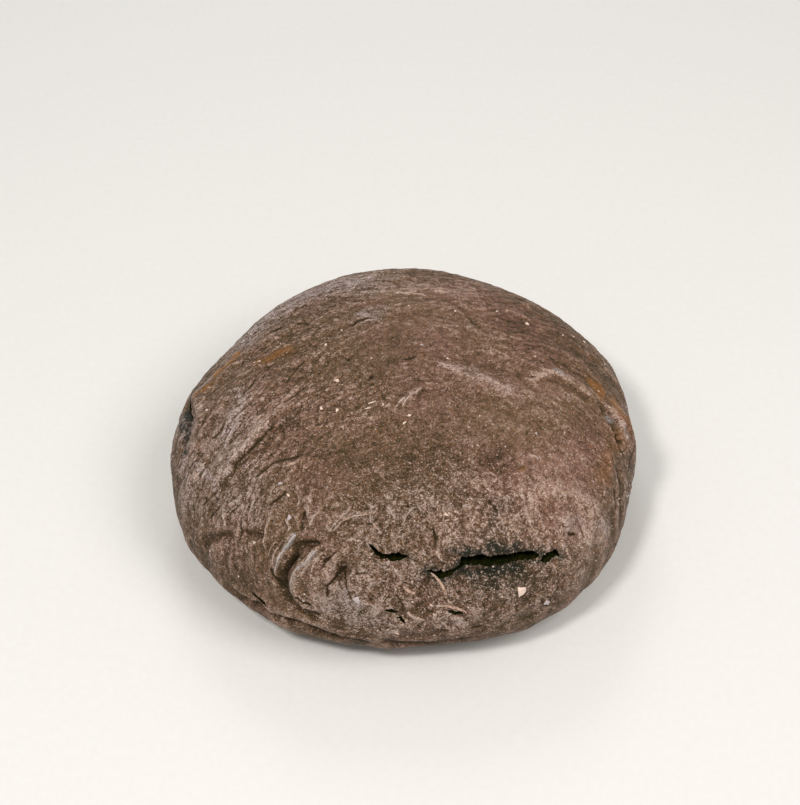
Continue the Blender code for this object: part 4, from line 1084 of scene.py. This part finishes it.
def cut_tears(crust, crumb_in_shade):
    """Cuts the tears. The faces that a cut leaves take the crumb's material."""
    tears = bpy.data.collections.new("Tears")
    bpy.context.scene.collection.children.link(tears)
    for name, shape in TEARS.items():
        cutter = tear_cutter(name, *shape)
        cutter.data.materials.append(crumb_in_shade)
        bpy.context.scene.collection.objects.unlink(cutter)
        tears.objects.link(cutter)
    boolean = crust.modifiers.new("Tears", "BOOLEAN")
    boolean.operation = "DIFFERENCE"
    boolean.operand_type = "COLLECTION"
    boolean.collection = tears
    boolean.solver = "MANIFOLD"
    boolean.material_mode = "TRANSFER"
    bpy.context.view_layer.update()
    apply_modifiers(crust)
    for cutter in list(tears.objects):
        bpy.data.objects.remove(cutter)
    bpy.data.collections.remove(tears)


def largest_body(bm):
    """Keeps the one body with the most faces, and drops crumbs that a cut left loose."""
    left = set(bm.faces)
    bodies = []
    while left:
        body = set()
        reached = [next(iter(left))]
        while reached:
            face = reached.pop()
            if face in body:
                continue
            body.add(face)
            reached += [near for edge in face.edges for near in edge.link_faces if near not in body]
        left -= body
        bodies.append(body)
    scraps = [face for body in sorted(bodies, key=len)[:-1] for face in body]
    bmesh.ops.delete(bm, geom=scraps, context="FACES")


def crust_surface(crust):
    """Finds the real crust under a point of the smooth loaf, by a ray from outside."""

    def land(point, normal):
        start = Vector(point + normal * TEAR_RUN_OUT)
        found, place, _, _ = crust.ray_cast(start, Vector(-normal))
        return np.array(place) if found else point

    return land


def flake(width, thickness, places, land):
    """A thin bent flake that follows the crust, narrow at both ends."""
    points, across, normals = frame_along(curve_through(places, FLAKE_STEPS))
    rings = []
    for index, (point, up, normal) in enumerate(zip(points, across, normals)):
        swell = math.sin(math.pi * (index + 0.6) / (len(points) + 0.2))
        half = 0.5 * width * MM * (FLAKE_END_WIDTH + (1 - FLAKE_END_WIDTH) * swell) * up
        middle = land(point, normal)
        top = middle + thickness * MM * (FLAKE_END_THICKNESS + (1 - FLAKE_END_THICKNESS) * swell) * normal
        sunk = middle - FLAKE_SINK * normal
        level = 0.5 * (sunk + top)
        crest = [top + 0.62 * half, top - 0.1 * half, top - 0.7 * half]
        rings.append([sunk + half, level + half, *crest, level - half, sunk - half])
    return loft(rings)


def chip(length, width, turn, place, land, shape_layer):
    """A small irregular plate lying on the crust."""
    bm = bmesh.new()
    bmesh.ops.create_icosphere(bm, subdivisions=2, radius=0.5)
    point, normal = (array[0] for array in on_crust([place]))
    level = np.cross((0.0, 0.0, 1.0), normal)
    level /= np.linalg.norm(level)
    rise = np.cross(normal, level)
    ahead = math.cos(math.radians(turn)) * level + math.sin(math.radians(turn)) * rise
    aside = np.cross(normal, ahead)
    centre = land(point, normal)
    for vert in bm.verts:
        x, y, z = vert.co
        uneven = 1.0 + 0.9 * noise.noise(Vector((2.2 * x, 2.2 * y, shape_layer)))
        taper = 1.0 + 1.1 * x
        flat = centre + length * x * uneven * ahead + width * y * uneven * taper * aside
        vert.co = flat + CHIP_THICKNESS * (2.0 * z + 0.2) * min(1.0, width / FULL_THICKNESS_WIDTH) * normal
    return bm


def strewn_bran():
    """Sizes, turns, places and tones of small bran flecks, at random but always the same."""
    random = np.random.default_rng(BRAN_SEED)
    for _ in range(BRAN_COUNT):
        lift = random.uniform(math.sin(math.radians(BRAN_LEAST_LATITUDE)), 1.0)
        place = (random.uniform(-180, 180), math.degrees(math.asin(lift)))
        length = random.uniform(*BRAN_SIZE)
        width = length * random.uniform(*BRAN_BREADTH)
        turn = random.uniform(0, 180)
        yield length, width, turn, place, random.uniform(0, 1)


def add_body(whole, bm):
    """Adds a small mesh to a larger one, and tells how many vertices it brought."""
    part = bpy.data.meshes.new("part")
    bm.to_mesh(part)
    count = len(bm.verts)
    bm.free()
    whole.from_mesh(part)
    bpy.data.meshes.remove(part)
    return count


# ---------------------------------------------------------------- what lies on the skin


def vertex_points(mesh):
    flat = np.empty(len(mesh.vertices) * 3)
    mesh.vertices.foreach_get("co", flat)
    return flat.reshape(-1, 3)


def edge_ends(mesh):
    flat = np.empty(len(mesh.edges) * 2, dtype=np.int32)
    mesh.edges.foreach_get("vertices", flat)
    return flat.reshape(-1, 2)


def averaged(values, ends, rounds):
    """The values blurred along the mesh's edges."""
    first, second = ends.T
    size = len(values)
    count = np.maximum(np.bincount(first, minlength=size) + np.bincount(second, minlength=size), 1)
    for _ in range(rounds):
        total = np.bincount(first, values[second], size) + np.bincount(second, values[first], size)
        values = 0.5 * values + 0.5 * total / count
    return values


def strewn(points, patches):
    """How much of something lies at each point, from its patches."""
    amount = np.zeros(len(points))
    uneven = 1.0 + PATCH_UNEVENNESS * noise_at(points, PATCH_UNEVENNESS_SIZE, 21)
    for strength, half_width, places in patches.values():
        line, normals = on_crust(curve_through(places))
        near = close_to(points, line, PATCH_REACH * MM * half_width)
        distance, _, _ = distance_to_line(points[near], line, normals)
        spread = strength * uneven[near] * np.exp(-((distance / (half_width * MM)) ** 2))
        amount[near] = np.maximum(amount[near], spread)
    return amount


def write_attribute(mesh, name, values):
    kind = "FLOAT_VECTOR" if values.ndim == 2 else "FLOAT"
    attribute = mesh.attributes.new(name, kind, "POINT")
    attribute.data.foreach_set("vector" if values.ndim == 2 else "value", values.ravel())


def mark_skin(mesh, relief):
    """Writes what the crust's finish needs to know about each place as attributes of the mesh."""
    points = vertex_points(mesh)
    ends = edge_ends(mesh)
    directions = directions_of(points)
    latitudes = np.degrees(np.arcsin(np.clip(directions[:, 2], -1.0, 1.0)))
    skin = smooth_form(directions)
    offset = np.einsum("ij,ij->i", points - skin, outward(directions))
    expected = crust_height(skin, latitudes, relief)
    shallow = np.maximum(offset, expected - 0.3 * MM)
    ridge = (shallow - averaged(shallow, ends, RIDGE_ROUNDS)) / RIDGE_HEIGHT
    crest = (shallow - averaged(shallow, ends, CREST_ROUNDS)) / CREST_HEIGHT
    write_attribute(mesh, "ridge", np.clip(ridge, -1, 1))
    write_attribute(mesh, "crest", np.clip(crest, -1, 1))
    distance, turn = flow_coordinates(skin)
    arm = LOAF_RADIUS / MM
    flow = np.stack([distance / MM, arm * np.cos(turn), arm * np.sin(turn)], axis=1)
    write_attribute(mesh, "flow", flow)
    write_attribute(mesh, "stretch", stretch_at(skin, latitudes))
    write_attribute(mesh, "rough", crumple_at(skin, latitudes))
    swaying = swayed(skin, FINE_SWAY_SIZE, FINE_SWAY)
    edges = np.zeros(len(skin))
    add_lines(edges, swaying, FINE_LINES, EDGE_SPREAD)
    write_attribute(mesh, "edge", np.clip(edges / EDGE_HEIGHT, -1.3, 1.3))
    write_attribute(mesh, "across", distance_across(swaying, FINE_LINES))
    wandering = swayed(skin, PATCH_SWAY_SIZE, PATCH_SWAY)
    for name, patches in PATCHES.items():
        write_attribute(mesh, name, strewn(wandering, patches))
    lips = {name: (*spread, [knot[:2] for knot in TEARS[name][2]]) for name, spread in LIP_SHADE.items()}
    write_attribute(mesh, "char", np.maximum(strewn(wandering, CHAR_AND_SHADE), strewn(skin, lips)))
    write_attribute(mesh, "painted_highlight", strewn(swaying, PAINTED_HIGHLIGHTS))
    # how much painted shade darkens the crust towards its base
    write_attribute(mesh, "under", smoothstep(*BASE_SHADE_LATITUDES, latitudes))


# ---------------------------------------------------------------- materials

GLOSS_ROUGHNESS = 0.24


class Wire:
    """One output in a material's nodes. Arithmetic on it adds Math nodes."""

    def __init__(self, finish, socket):
        self.finish = finish
        self.socket = socket

    def math(self, operation, *values):
        return self.finish.node("ShaderNodeMath", {"operation": operation}, values)

    def __add__(self, other):
        return self.math("ADD", self, other)

    def __radd__(self, other):
        return self.math("ADD", other, self)

    def __sub__(self, other):
        return self.math("SUBTRACT", self, other)

    def __rsub__(self, other):
        return self.math("SUBTRACT", other, self)

    def __mul__(self, other):
        return self.math("MULTIPLY", self, other)

    def __rmul__(self, other):
        return self.math("MULTIPLY", other, self)

    def absolute(self):
        return self.math("ABSOLUTE", self)

    def at_most(self, other):
        return self.math("MINIMUM", self, other)

    def at_least(self, other):
        return self.math("MAXIMUM", self, other)


class Finish:
    """A material and the nodes that make it."""

    def __init__(self, name, roughness, specular):
        self.material = bpy.data.materials.new(name)
        self.material.use_nodes = True
        self.tree = self.material.node_tree
        self.shader = self.tree.nodes["Principled BSDF"]
        self.shader.inputs["Roughness"].default_value = roughness
        self.shader.inputs["Specular IOR Level"].default_value = specular
        self.shader.inputs["Coat Roughness"].default_value = GLOSS_ROUGHNESS

    def node(self, kind, settings=None, values=(), output=0):
        """Adds a node, gives it its settings and then its sockets' values or wires."""
        node = self.tree.nodes.new(kind)
        for name, setting in (settings or {}).items():
            setattr(node, name, setting)
        named = values.items() if isinstance(values, dict) else enumerate(values)
        for key, value in named:
            if isinstance(value, Wire):
                self.tree.links.new(value.socket, node.inputs[key])
            else:
                node.inputs[key].default_value = value
        return Wire(self, node.outputs[output])

    def feed(self, socket, wire):
        self.tree.links.new(wire.socket, self.shader.inputs[socket])

    def bump(self, height, depth):
        """Shades the surface as if the height stood out from it by that depth in metres."""
        values = {"Strength": 1.0, "Distance": depth, "Height": height}
        self.feed("Normal", self.node("ShaderNodeBump", {}, values))

    def attribute(self, name):
        return self.node("ShaderNodeAttribute", {"attribute_name": name}, output="Fac")

    def attribute_vector(self, name):
        return self.node("ShaderNodeAttribute", {"attribute_name": name}, output="Vector")

    def position(self):
        return self.node("ShaderNodeTexCoord", output="Object")

    def stretched(self, vector, factors):
        return self.node("ShaderNodeVectorMath", {"operation": "MULTIPLY"}, (vector, factors))

    def shifted(self, vector, place, scale, reach):
        """The vector moved about by noise at that scale of the object's own coordinates."""
        values = {"Vector": place, "Scale": scale, "Detail": 1.0}
        colour = self.node("ShaderNodeTexNoise", {}, values, output="Color")
        offset = self.node("ShaderNodeVectorMath", {"operation": "SUBTRACT"}, (colour, (0.5, 0.5, 0.5)))
        reached = self.node("ShaderNodeVectorMath", {"operation": "SCALE"}, {0: offset, "Scale": reach})
        return self.node("ShaderNodeVectorMath", {"operation": "ADD"}, (vector, reached))

    def noise(self, vector, scale, detail=2.0, rough=0.5, distortion=0.0):
        values = {"Vector": vector, "Scale": scale, "Detail": detail, "Roughness": rough}
        return self.node("ShaderNodeTexNoise", {}, {**values, "Distortion": distortion})

    def step(self, value, low, high):
        """0 below low, 1 above high, and smooth between."""
        values = {"Value": value, "From Min": low, "From Max": high}
        return self.node("ShaderNodeMapRange", {"interpolation_type": "SMOOTHSTEP"}, values)

    def grains(self, vector, scale):
        """Three even random values, each constant within one small grain."""
        colour = self.node("ShaderNodeTexVoronoi", {}, {"Vector": vector, "Scale": scale}, output="Color")
        return [self.node("ShaderNodeSeparateColor", {}, (colour,), output) for output in range(3)]

    def plates(self, vector):
        """Distance from the edges of irregular plates, and an even random value for each plate."""
        settings = {"feature": "DISTANCE_TO_EDGE"}
        values = {"Vector": vector, "Scale": 1.0}
        edge = self.node("ShaderNodeTexVoronoi", settings, values, output="Distance")
        return edge, self.grains(vector, 1.0)[0]

    def line(self, value, width):
        """1 where the noise passes its middle and 0 farther off than the width: thin winding lines."""
        return 1 - self.step((value - 0.5).absolute(), 0.0, width)

    def blend(self, first, second, share):
        """Mixes two colours."""
        settings = {"data_type": "RGBA", "clamp_factor": True}
        return self.node("ShaderNodeMix", settings, {0: share, 6: first, 7: second}, output=2)


def crust_finish(name, colours, relief):
    """Dark crust with baked flour on its fine ridges, cracks, dust, shiny and scorched patches, painted
    highlights and glints, and painted shade in hollows, round the tears and towards the base.
    """
    finish = Finish(name, 0.5, 0.27)
    place = finish.position()
    flow = finish.attribute_vector("flow")
    stretch = finish.attribute("stretch")
    rough = finish.attribute("rough")
    ridge = finish.attribute("ridge")
    crest = finish.attribute("crest")

    streaks = finish.noise(finish.stretched(flow, (0.66, 0.27, 0.27)), 1.0, 4.0, 0.70, 0.6)
    grit = finish.noise(place, 1 / (1.0 * MM), 3.0, 0.76, 0.3)
    shade, warmth, gloss = finish.grains(place, 1 / (0.60 * MM))
    clump = finish.grains(place, 1 / (1.15 * MM))[0]
    mottle = finish.noise(place, 1 / (6.5 * MM), 4.0, 0.66, 0.8)
    clouds = finish.noise(place, 1 / (34 * MM), 2.0, 0.5)
    folds = finish.noise(place, 1 / (4.6 * MM), 2.0, 0.6, 1.6)
    drawn = finish.shifted(finish.stretched(flow, (0.34, 0.16, 0.16)), place, 1 / (3.0 * MM), 1.2)
    drawn_edge, drawn_tone = finish.plates(drawn)
    even = finish.shifted(finish.stretched(place, (260.0, 260.0, 260.0)), place, 1 / (3.0 * MM), 1.0)
    even_edge, even_tone = finish.plates(even)

    drawn_cracks = (1 - finish.step(drawn_edge, 0.0, 0.09)) * finish.step(mottle, 0.40, 0.56) * stretch
    even_cracks = (1 - finish.step(even_edge, 0.0, 0.07)) * finish.step(mottle, 0.56, 0.44) * 0.7
    cracks = drawn_cracks.at_least(even_cracks)
    plate = even_tone + (drawn_tone - even_tone) * stretch - 0.5
    calm = finish.attribute("calm").at_most(1.0)
    crinkled = finish.step(mottle, 0.40, 0.54) * (0.15 + rough * 0.85) * (1 - calm * 0.8)
    # painted highlights along thin crinkles, each with a painted shadow beside it, where the crust is
    # crinkled
    crinkle_light_and_shade = (finish.line(folds, 0.05) - finish.line(folds - 0.08, 0.06) * 0.35) * crinkled
    fine = grit - 0.5 + (streaks - grit) * (stretch * 0.7)
    speckle = (shade - 0.5) * (0.24 + rough * 0.18 + stretch * 0.04) + (clump - 0.5) * 0.06
    flour = finish.attribute("flour")
    crisp = 1 - finish.step((finish.attribute("across") + (grit - 0.5) * 1.3).absolute(), 0.10, 0.70)
    edge = finish.attribute("edge") * crisp

    fine = fine * (1 - calm * 0.6)
    dusty = 0.515 + fine * (0.35 + rough * 0.16 + stretch * 0.10 + flour * 0.06) + speckle * (1 - calm * 0.3)
    dusty = dusty + plate * 0.13 - cracks * (0.30 - calm * 0.2) + crinkle_light_and_shade * 0.28
    dusty = dusty + (mottle - 0.5) * (0.28 - rough * 0.10 - calm * 0.09)
    # crests lighter and hollows darker: partly flour on the ridges, partly painted highlight and painted
    # shade
    dusty = dusty + ridge * 0.12 + crest * 0.06 + edge * 0.36
    # less flour, and painted shade in the left fold, the dimple, the low left rim and the front edge
    dusty = dusty + flour * 0.085 - finish.attribute("bare_and_shade") * 0.10
    dusty = dusty - finish.attribute("ochre").at_most(1.0) * 0.26

    tone = finish.step(clouds + (mottle - 0.5) * 0.6, 0.42, 0.62) * 0.5
    tone = tone.at_least(finish.attribute("russet")).at_most(1.0)
    skin = finish.blend(colours.brown, colours.russet, tone)
    skin = finish.blend(skin, colours.ochre, finish.step(warmth, 0.86, 0.97) * 0.4)
    skin = finish.blend(colours.deep, skin, finish.step(dusty, 0.14, 0.56))
    dust = finish.blend(colours.flour, colours.lilac, finish.step(warmth, 0.40, 0.80) * (0.8 - tone * 0.35))
    skin = finish.blend(skin, dust, finish.step(dusty, 0.46, 0.96) * (0.66 + shade * 0.26))
    skin = finish.blend(skin, colours.deep, finish.step(shade + fine * 0.4, 0.08, 0.02) * 0.6)
    lilac = finish.attribute("lilac") * finish.step(dusty, 0.34, 0.70)
    skin = finish.blend(skin, colours.lilac, lilac * (0.35 + shade * 0.4))
    ochre = finish.attribute("ochre")
    ochre = (ochre * finish.step(mottle + fine * 0.6 + ochre * 0.1, 0.28, 0.50)).at_most(1.0)
    skin = finish.blend(skin, colours.ochre, ochre * (0.55 + dusty * 0.6))
    # burnt crust and painted shade round the tears and in the left rim seam, thinner where flour lies
    burn_and_shade = finish.attribute("char") * (1.05 - finish.step(dusty, 0.46, 0.80) * 0.7)
    skin = finish.blend(skin, colours.char, burn_and_shade.at_most(1.0))
    # pale specks: partly bran, partly painted glints
    bran_and_glints = shade + fine * 0.35 + edge * 0.1 + rough * 0.05 + crinkle_light_and_shade * 0.12
    skin = finish.blend(skin, colours.bran, finish.step(bran_and_glints, 0.94, 1.05) * 0.45)
    # near-white along the crests of the small lines: partly flour, partly painted highlight
    skin = finish.blend(skin, colours.bran, finish.step(edge, 0.65, 1.2) * (0.40 + shade * 0.5))
    # painted highlights: white spots on the right bulge and on the left fold's ridges, broken up by the
    # grains
    skin = finish.blend(skin, colours.painted_highlight, finish.attribute("painted_highlight") * (0.15 + shade * 0.9))
    # painted shade: darker towards the base
    skin = finish.blend(skin, colours.deep, finish.attribute("under") * 0.25)
    finish.feed("Base Color", skin)

    finish.feed("Roughness", (0.36 - ochre * 0.16 + gloss * 0.34).at_most(1.0))
    finish.feed("Coat Weight", finish.attribute("sheen").at_most(1.0))
    height = fine + speckle * 0.5 + plate * 0.12 - cracks * 0.25 + crinkle_light_and_shade * 0.3 + edge * 0.45
    finish.bump(height, relief.grain)
    return finish.material


def crumb_in_shade_finish(colours):
    """The dark, matt crumb that shows inside the tears, browner here and there; darker than real crumb, as
    painted shade in the tears.
    """
    finish = Finish("dark crumb", 1.0, 0.0)
    place = finish.position()
    pores = finish.noise(place, 1 / (1.3 * MM), 3.0, 0.7)
    shade, warmth, _ = finish.grains(place, 1 / (0.6 * MM))
    crumb_in_shade = finish.blend(colours.crumb_in_shade, colours.deep, finish.step(pores, 0.45, 0.7) * 0.6)
    crumb_in_shade = finish.blend(crumb_in_shade, colours.brown, finish.step(shade + pores, 1.3, 1.7) * 0.2)
    crumb_in_shade = finish.blend(crumb_in_shade, colours.ochre, finish.step(warmth + pores, 1.4, 1.7) * 0.15)
    finish.feed("Base Color", crumb_in_shade)
    return finish.material


def chip_finish(colours):
    """Pale flecks of bran and dried dough, some warm and some cool."""
    finish = Finish("pale bran", 0.6, 0.3)
    tone = finish.attribute("tone")
    grit = finish.noise(finish.position(), 1 / (0.9 * MM), 3.0, 0.65)
    fleck = finish.blend(colours.bran, colours.lilac, finish.step(tone, 0.55, 0.9))
    fleck = finish.blend(fleck, colours.brown, finish.step(tone, 0.45, 0.0) * 0.6)
    finish.feed("Base Color", finish.blend(fleck, colours.brown, finish.step(grit, 0.55, 0.30) * 0.5))
    return finish.material


def flake_finish(colours, relief):
    """Thin dry skin, paler than the crust under it."""
    finish = Finish("dry pale skin", 0.85, 0.3)
    place = finish.position()
    grit = finish.noise(place, 1 / (1.1 * MM), 3.0, 0.65)
    skin = finish.blend(colours.russet, colours.flour, finish.step(grit, 0.30, 0.62) * 0.9)
    finish.feed("Base Color", skin)
    finish.feed("Roughness", 0.8 + (grit - 0.5) * 0.2)
    finish.bump(grit, 0.5 * relief.grain)
    return finish.material


def floor_finish():
    """Pale, matt studio paper."""
    finish = Finish("pale studio paper", 0.9, 0.2)
    tooth = finish.noise(finish.position(), 260.0, 3.0, 0.6)
    paper = finish.blend((0.70, 0.69, 0.665, 1), (0.75, 0.74, 0.72, 1), tooth)
    finish.feed("Base Color", paper)
    return finish.material


# ---------------------------------------------------------------- stage

VIEW_ELEVATION = 48  # degrees that the camera looks down
VIEW_DISTANCE = 0.901
VIEW_TARGET = (-0.0017, 0.0203, 0.045)
FOCAL_PIXELS = 1700  # focal length in pixels of the frame
FRAME_LONG_SIDE = 805
SENSOR_WIDTH = 36.0

# name: azimuth and elevation in degrees, distance and size in metres, power in watts, colour
LAMPS = {
    "key": (-128, 60, 1.4, 0.22, 9.6, (1.0, 0.98, 0.95)),
    "fill": (-30, 54, 1.6, 0.8, 11.9, (1.0, 0.98, 0.95)),
    "back": (98, 44, 1.6, 0.5, 4.6, (0.94, 0.97, 1.0)),
}
SKY_LIGHT = 0.40
FLOOR_SIZE = 6.0


def direction_towards(azimuth, elevation):
    return Vector(directions_at([(azimuth, elevation)])[0])


def add_camera():
    data = bpy.data.cameras.new("view")
    camera = bpy.data.objects.new("view", data)
    bpy.context.scene.collection.objects.link(camera)
    camera.location = Vector(VIEW_TARGET) + VIEW_DISTANCE * direction_towards(-90, VIEW_ELEVATION)
    camera.rotation_euler = (math.radians(90 - VIEW_ELEVATION), 0.0, 0.0)
    data.sensor_width = SENSOR_WIDTH
    data.lens = FOCAL_PIXELS / FRAME_LONG_SIDE * SENSOR_WIDTH
    data.clip_start = 0.01
    bpy.context.scene.camera = camera


def add_lamp(name, azimuth, elevation, distance, size, power, colour):
    data = bpy.data.lights.new(name, "AREA")
    data.size = size
    data.energy = power
    data.color = colour
    lamp = bpy.data.objects.new(name, data)
    bpy.context.scene.collection.objects.link(lamp)
    towards = direction_towards(azimuth, elevation)
    lamp.location = distance * towards
    lamp.rotation_euler = towards.to_track_quat("Z", "Y").to_euler()


def add_sky():
    world = bpy.data.worlds.new("studio")
    world.use_nodes = True
    background = world.node_tree.nodes["Background"]
    background.inputs["Color"].default_value = (1.0, 0.975, 0.93, 1.0)
    background.inputs["Strength"].default_value = SKY_LIGHT
    bpy.context.scene.world = world


# ---------------------------------------------------------------- operators


class LOAF_OT_crust(Operator):
    """Bakes the crust: form, relief, tears and finish"""

    bl_idname = "loaf.crust"
    bl_label = "Crust"

    def execute(self, context):
        relief = context.scene.loaf_relief
        bm = ball_mesh()
        shape_crust(bm, relief)
        cut_flat_base(bm)
        crust = object_from(bm, "crust")
        colours = context.scene.loaf_colours
        crumb_in_shade = crumb_in_shade_finish(colours)
        crust.data.materials.append(crust_finish("floured dark crust", colours, relief))
        crust.data.materials.append(crumb_in_shade)
        cut_tears(crust, crumb_in_shade)
        bm = bmesh.new()
        bm.from_mesh(crust.data)
        largest_body(bm)
        ragged = [face for face in bm.faces if 4 < len(face.verts) <= MOST_CORNERS]
        bmesh.ops.triangulate(bm, faces=ragged)
        bm.to_mesh(crust.data)
        bm.free()
        mark_skin(crust.data, relief)
        crust.data.shade_smooth()
        crust.data.set_sharp_from_angle(angle=math.radians(SHARP_ANGLE))
        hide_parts("loaf")
        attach(crust, "root")
        return {"FINISHED"}


class LOAF_OT_flakes(Operator):
    """Lays the curled strip, the raised flake and the pale curl on the crust"""

    bl_idname = "loaf.flakes"
    bl_label = "Flakes"

    def execute(self, context):
        crust = bpy.data.objects["crust"]
        bpy.context.view_layer.update()
        land = crust_surface(crust)
        whole = bmesh.new()
        for shape in FLAKES.values():
            add_body(whole, flake(*shape, land))
        flakes = object_from(whole, "flakes")
        flakes.data.materials.append(flake_finish(context.scene.loaf_colours, context.scene.loaf_relief))
        flakes.data.shade_smooth()
        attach(flakes, "root")
        return {"FINISHED"}


class LOAF_OT_bran(Operator):
    """Strews pale chips and bran over the crust"""

    bl_idname = "loaf.bran"
    bl_label = "Bran"

    def execute(self, context):
        crust = bpy.data.objects["crust"]
        bpy.context.view_layer.update()
        land = crust_surface(crust)
        whole = bmesh.new()
        tones = []
        for layer, (name, (length, width, turn, place)) in enumerate(CHIPS.items()):
            tone = COOL_TONE if name in COOL_CHIPS else WARM_TONE
            tones += [tone] * add_body(whole, chip(length * MM, width * MM, turn, place, land, layer))
        for layer, (length, width, turn, place, tone) in enumerate(strewn_bran()):
            tones += [tone] * add_body(whole, chip(length, width, turn, place, land, 0.37 * layer))
        bran = object_from(whole, "bran")
        write_attribute(bran.data, "tone", np.array(tones))
        bran.data.materials.append(chip_finish(context.scene.loaf_colours))
        bran.data.shade_smooth()
        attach(bran, "root")
        return {"FINISHED"}


class LOAF_OT_stage(Operator):
    """Sets the floor, the lights and the camera"""

    bl_idname = "loaf.stage"
    bl_label = "Stage"

    def execute(self, context):
        bm = bmesh.new()
        bmesh.ops.create_grid(bm, x_segments=1, y_segments=1, size=FLOOR_SIZE / 2)
        floor = object_from(bm, "floor")
        floor.data.materials.append(floor_finish())
        floor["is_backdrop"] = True
        add_sky()
        for name, lamp in LAMPS.items():
            add_lamp(name, *lamp)
        add_camera()
        context.scene.view_settings.view_transform = "Standard"
        return {"FINISHED"}


PIECES = (LOAF_OT_crust, LOAF_OT_flakes, LOAF_OT_bran, LOAF_OT_stage)


class LOAF_PT_pieces(Panel):
    """Lists the loaf's pieces and settings"""

    bl_label = "Carob bread loaf"
    bl_idname = "LOAF_PT_pieces"
    bl_space_type = "VIEW_3D"
    bl_region_type = "UI"
    bl_category = "Loaf"

    def draw(self, context):
        layout = self.layout
        for settings in (context.scene.loaf_relief, context.scene.loaf_colours):
            for name in settings.bl_rna.properties.keys():
                if name not in ("rna_type", "name"):
                    layout.prop(settings, name)
        for piece in PIECES:
            layout.operator(piece.bl_idname)


CLASSES = (LoafRelief, LoafColours, *PIECES, LOAF_PT_pieces)


def register():
    for cls in CLASSES:
        bpy.utils.register_class(cls)
    bpy.types.Scene.loaf_relief = PointerProperty(type=LoafRelief)
    bpy.types.Scene.loaf_colours = PointerProperty(type=LoafColours)


def unregister():
    del bpy.types.Scene.loaf_colours
    del bpy.types.Scene.loaf_relief
    for cls in reversed(CLASSES):
        bpy.utils.unregister_class(cls)


def centre_over_origin(pieces, middle):
    for piece in pieces:
        piece.data.transform(Matrix.Translation((-middle[0], -middle[1], 0.0)))


def write_sizes():
    boxes = {"cad": SOLID_BOX, "visual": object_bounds()}
    plain = {name: [[float(side) for side in corner] for corner in box] for name, box in boxes.items()}


def main():
    register()
    bpy.ops.loaf.crust()
    bpy.ops.loaf.flakes()
    bpy.ops.loaf.bran()
    pieces = [bpy.data.objects[name] for name in ("crust", "flakes", "bran")]
    points = vertex_points(pieces[0].data)
    middle = (points.min(axis=0) + points.max(axis=0)) / 2
    centre_over_origin(pieces, middle)
    bpy.ops.loaf.stage()
    write_sizes()


if __name__ == "__main__":
    main()
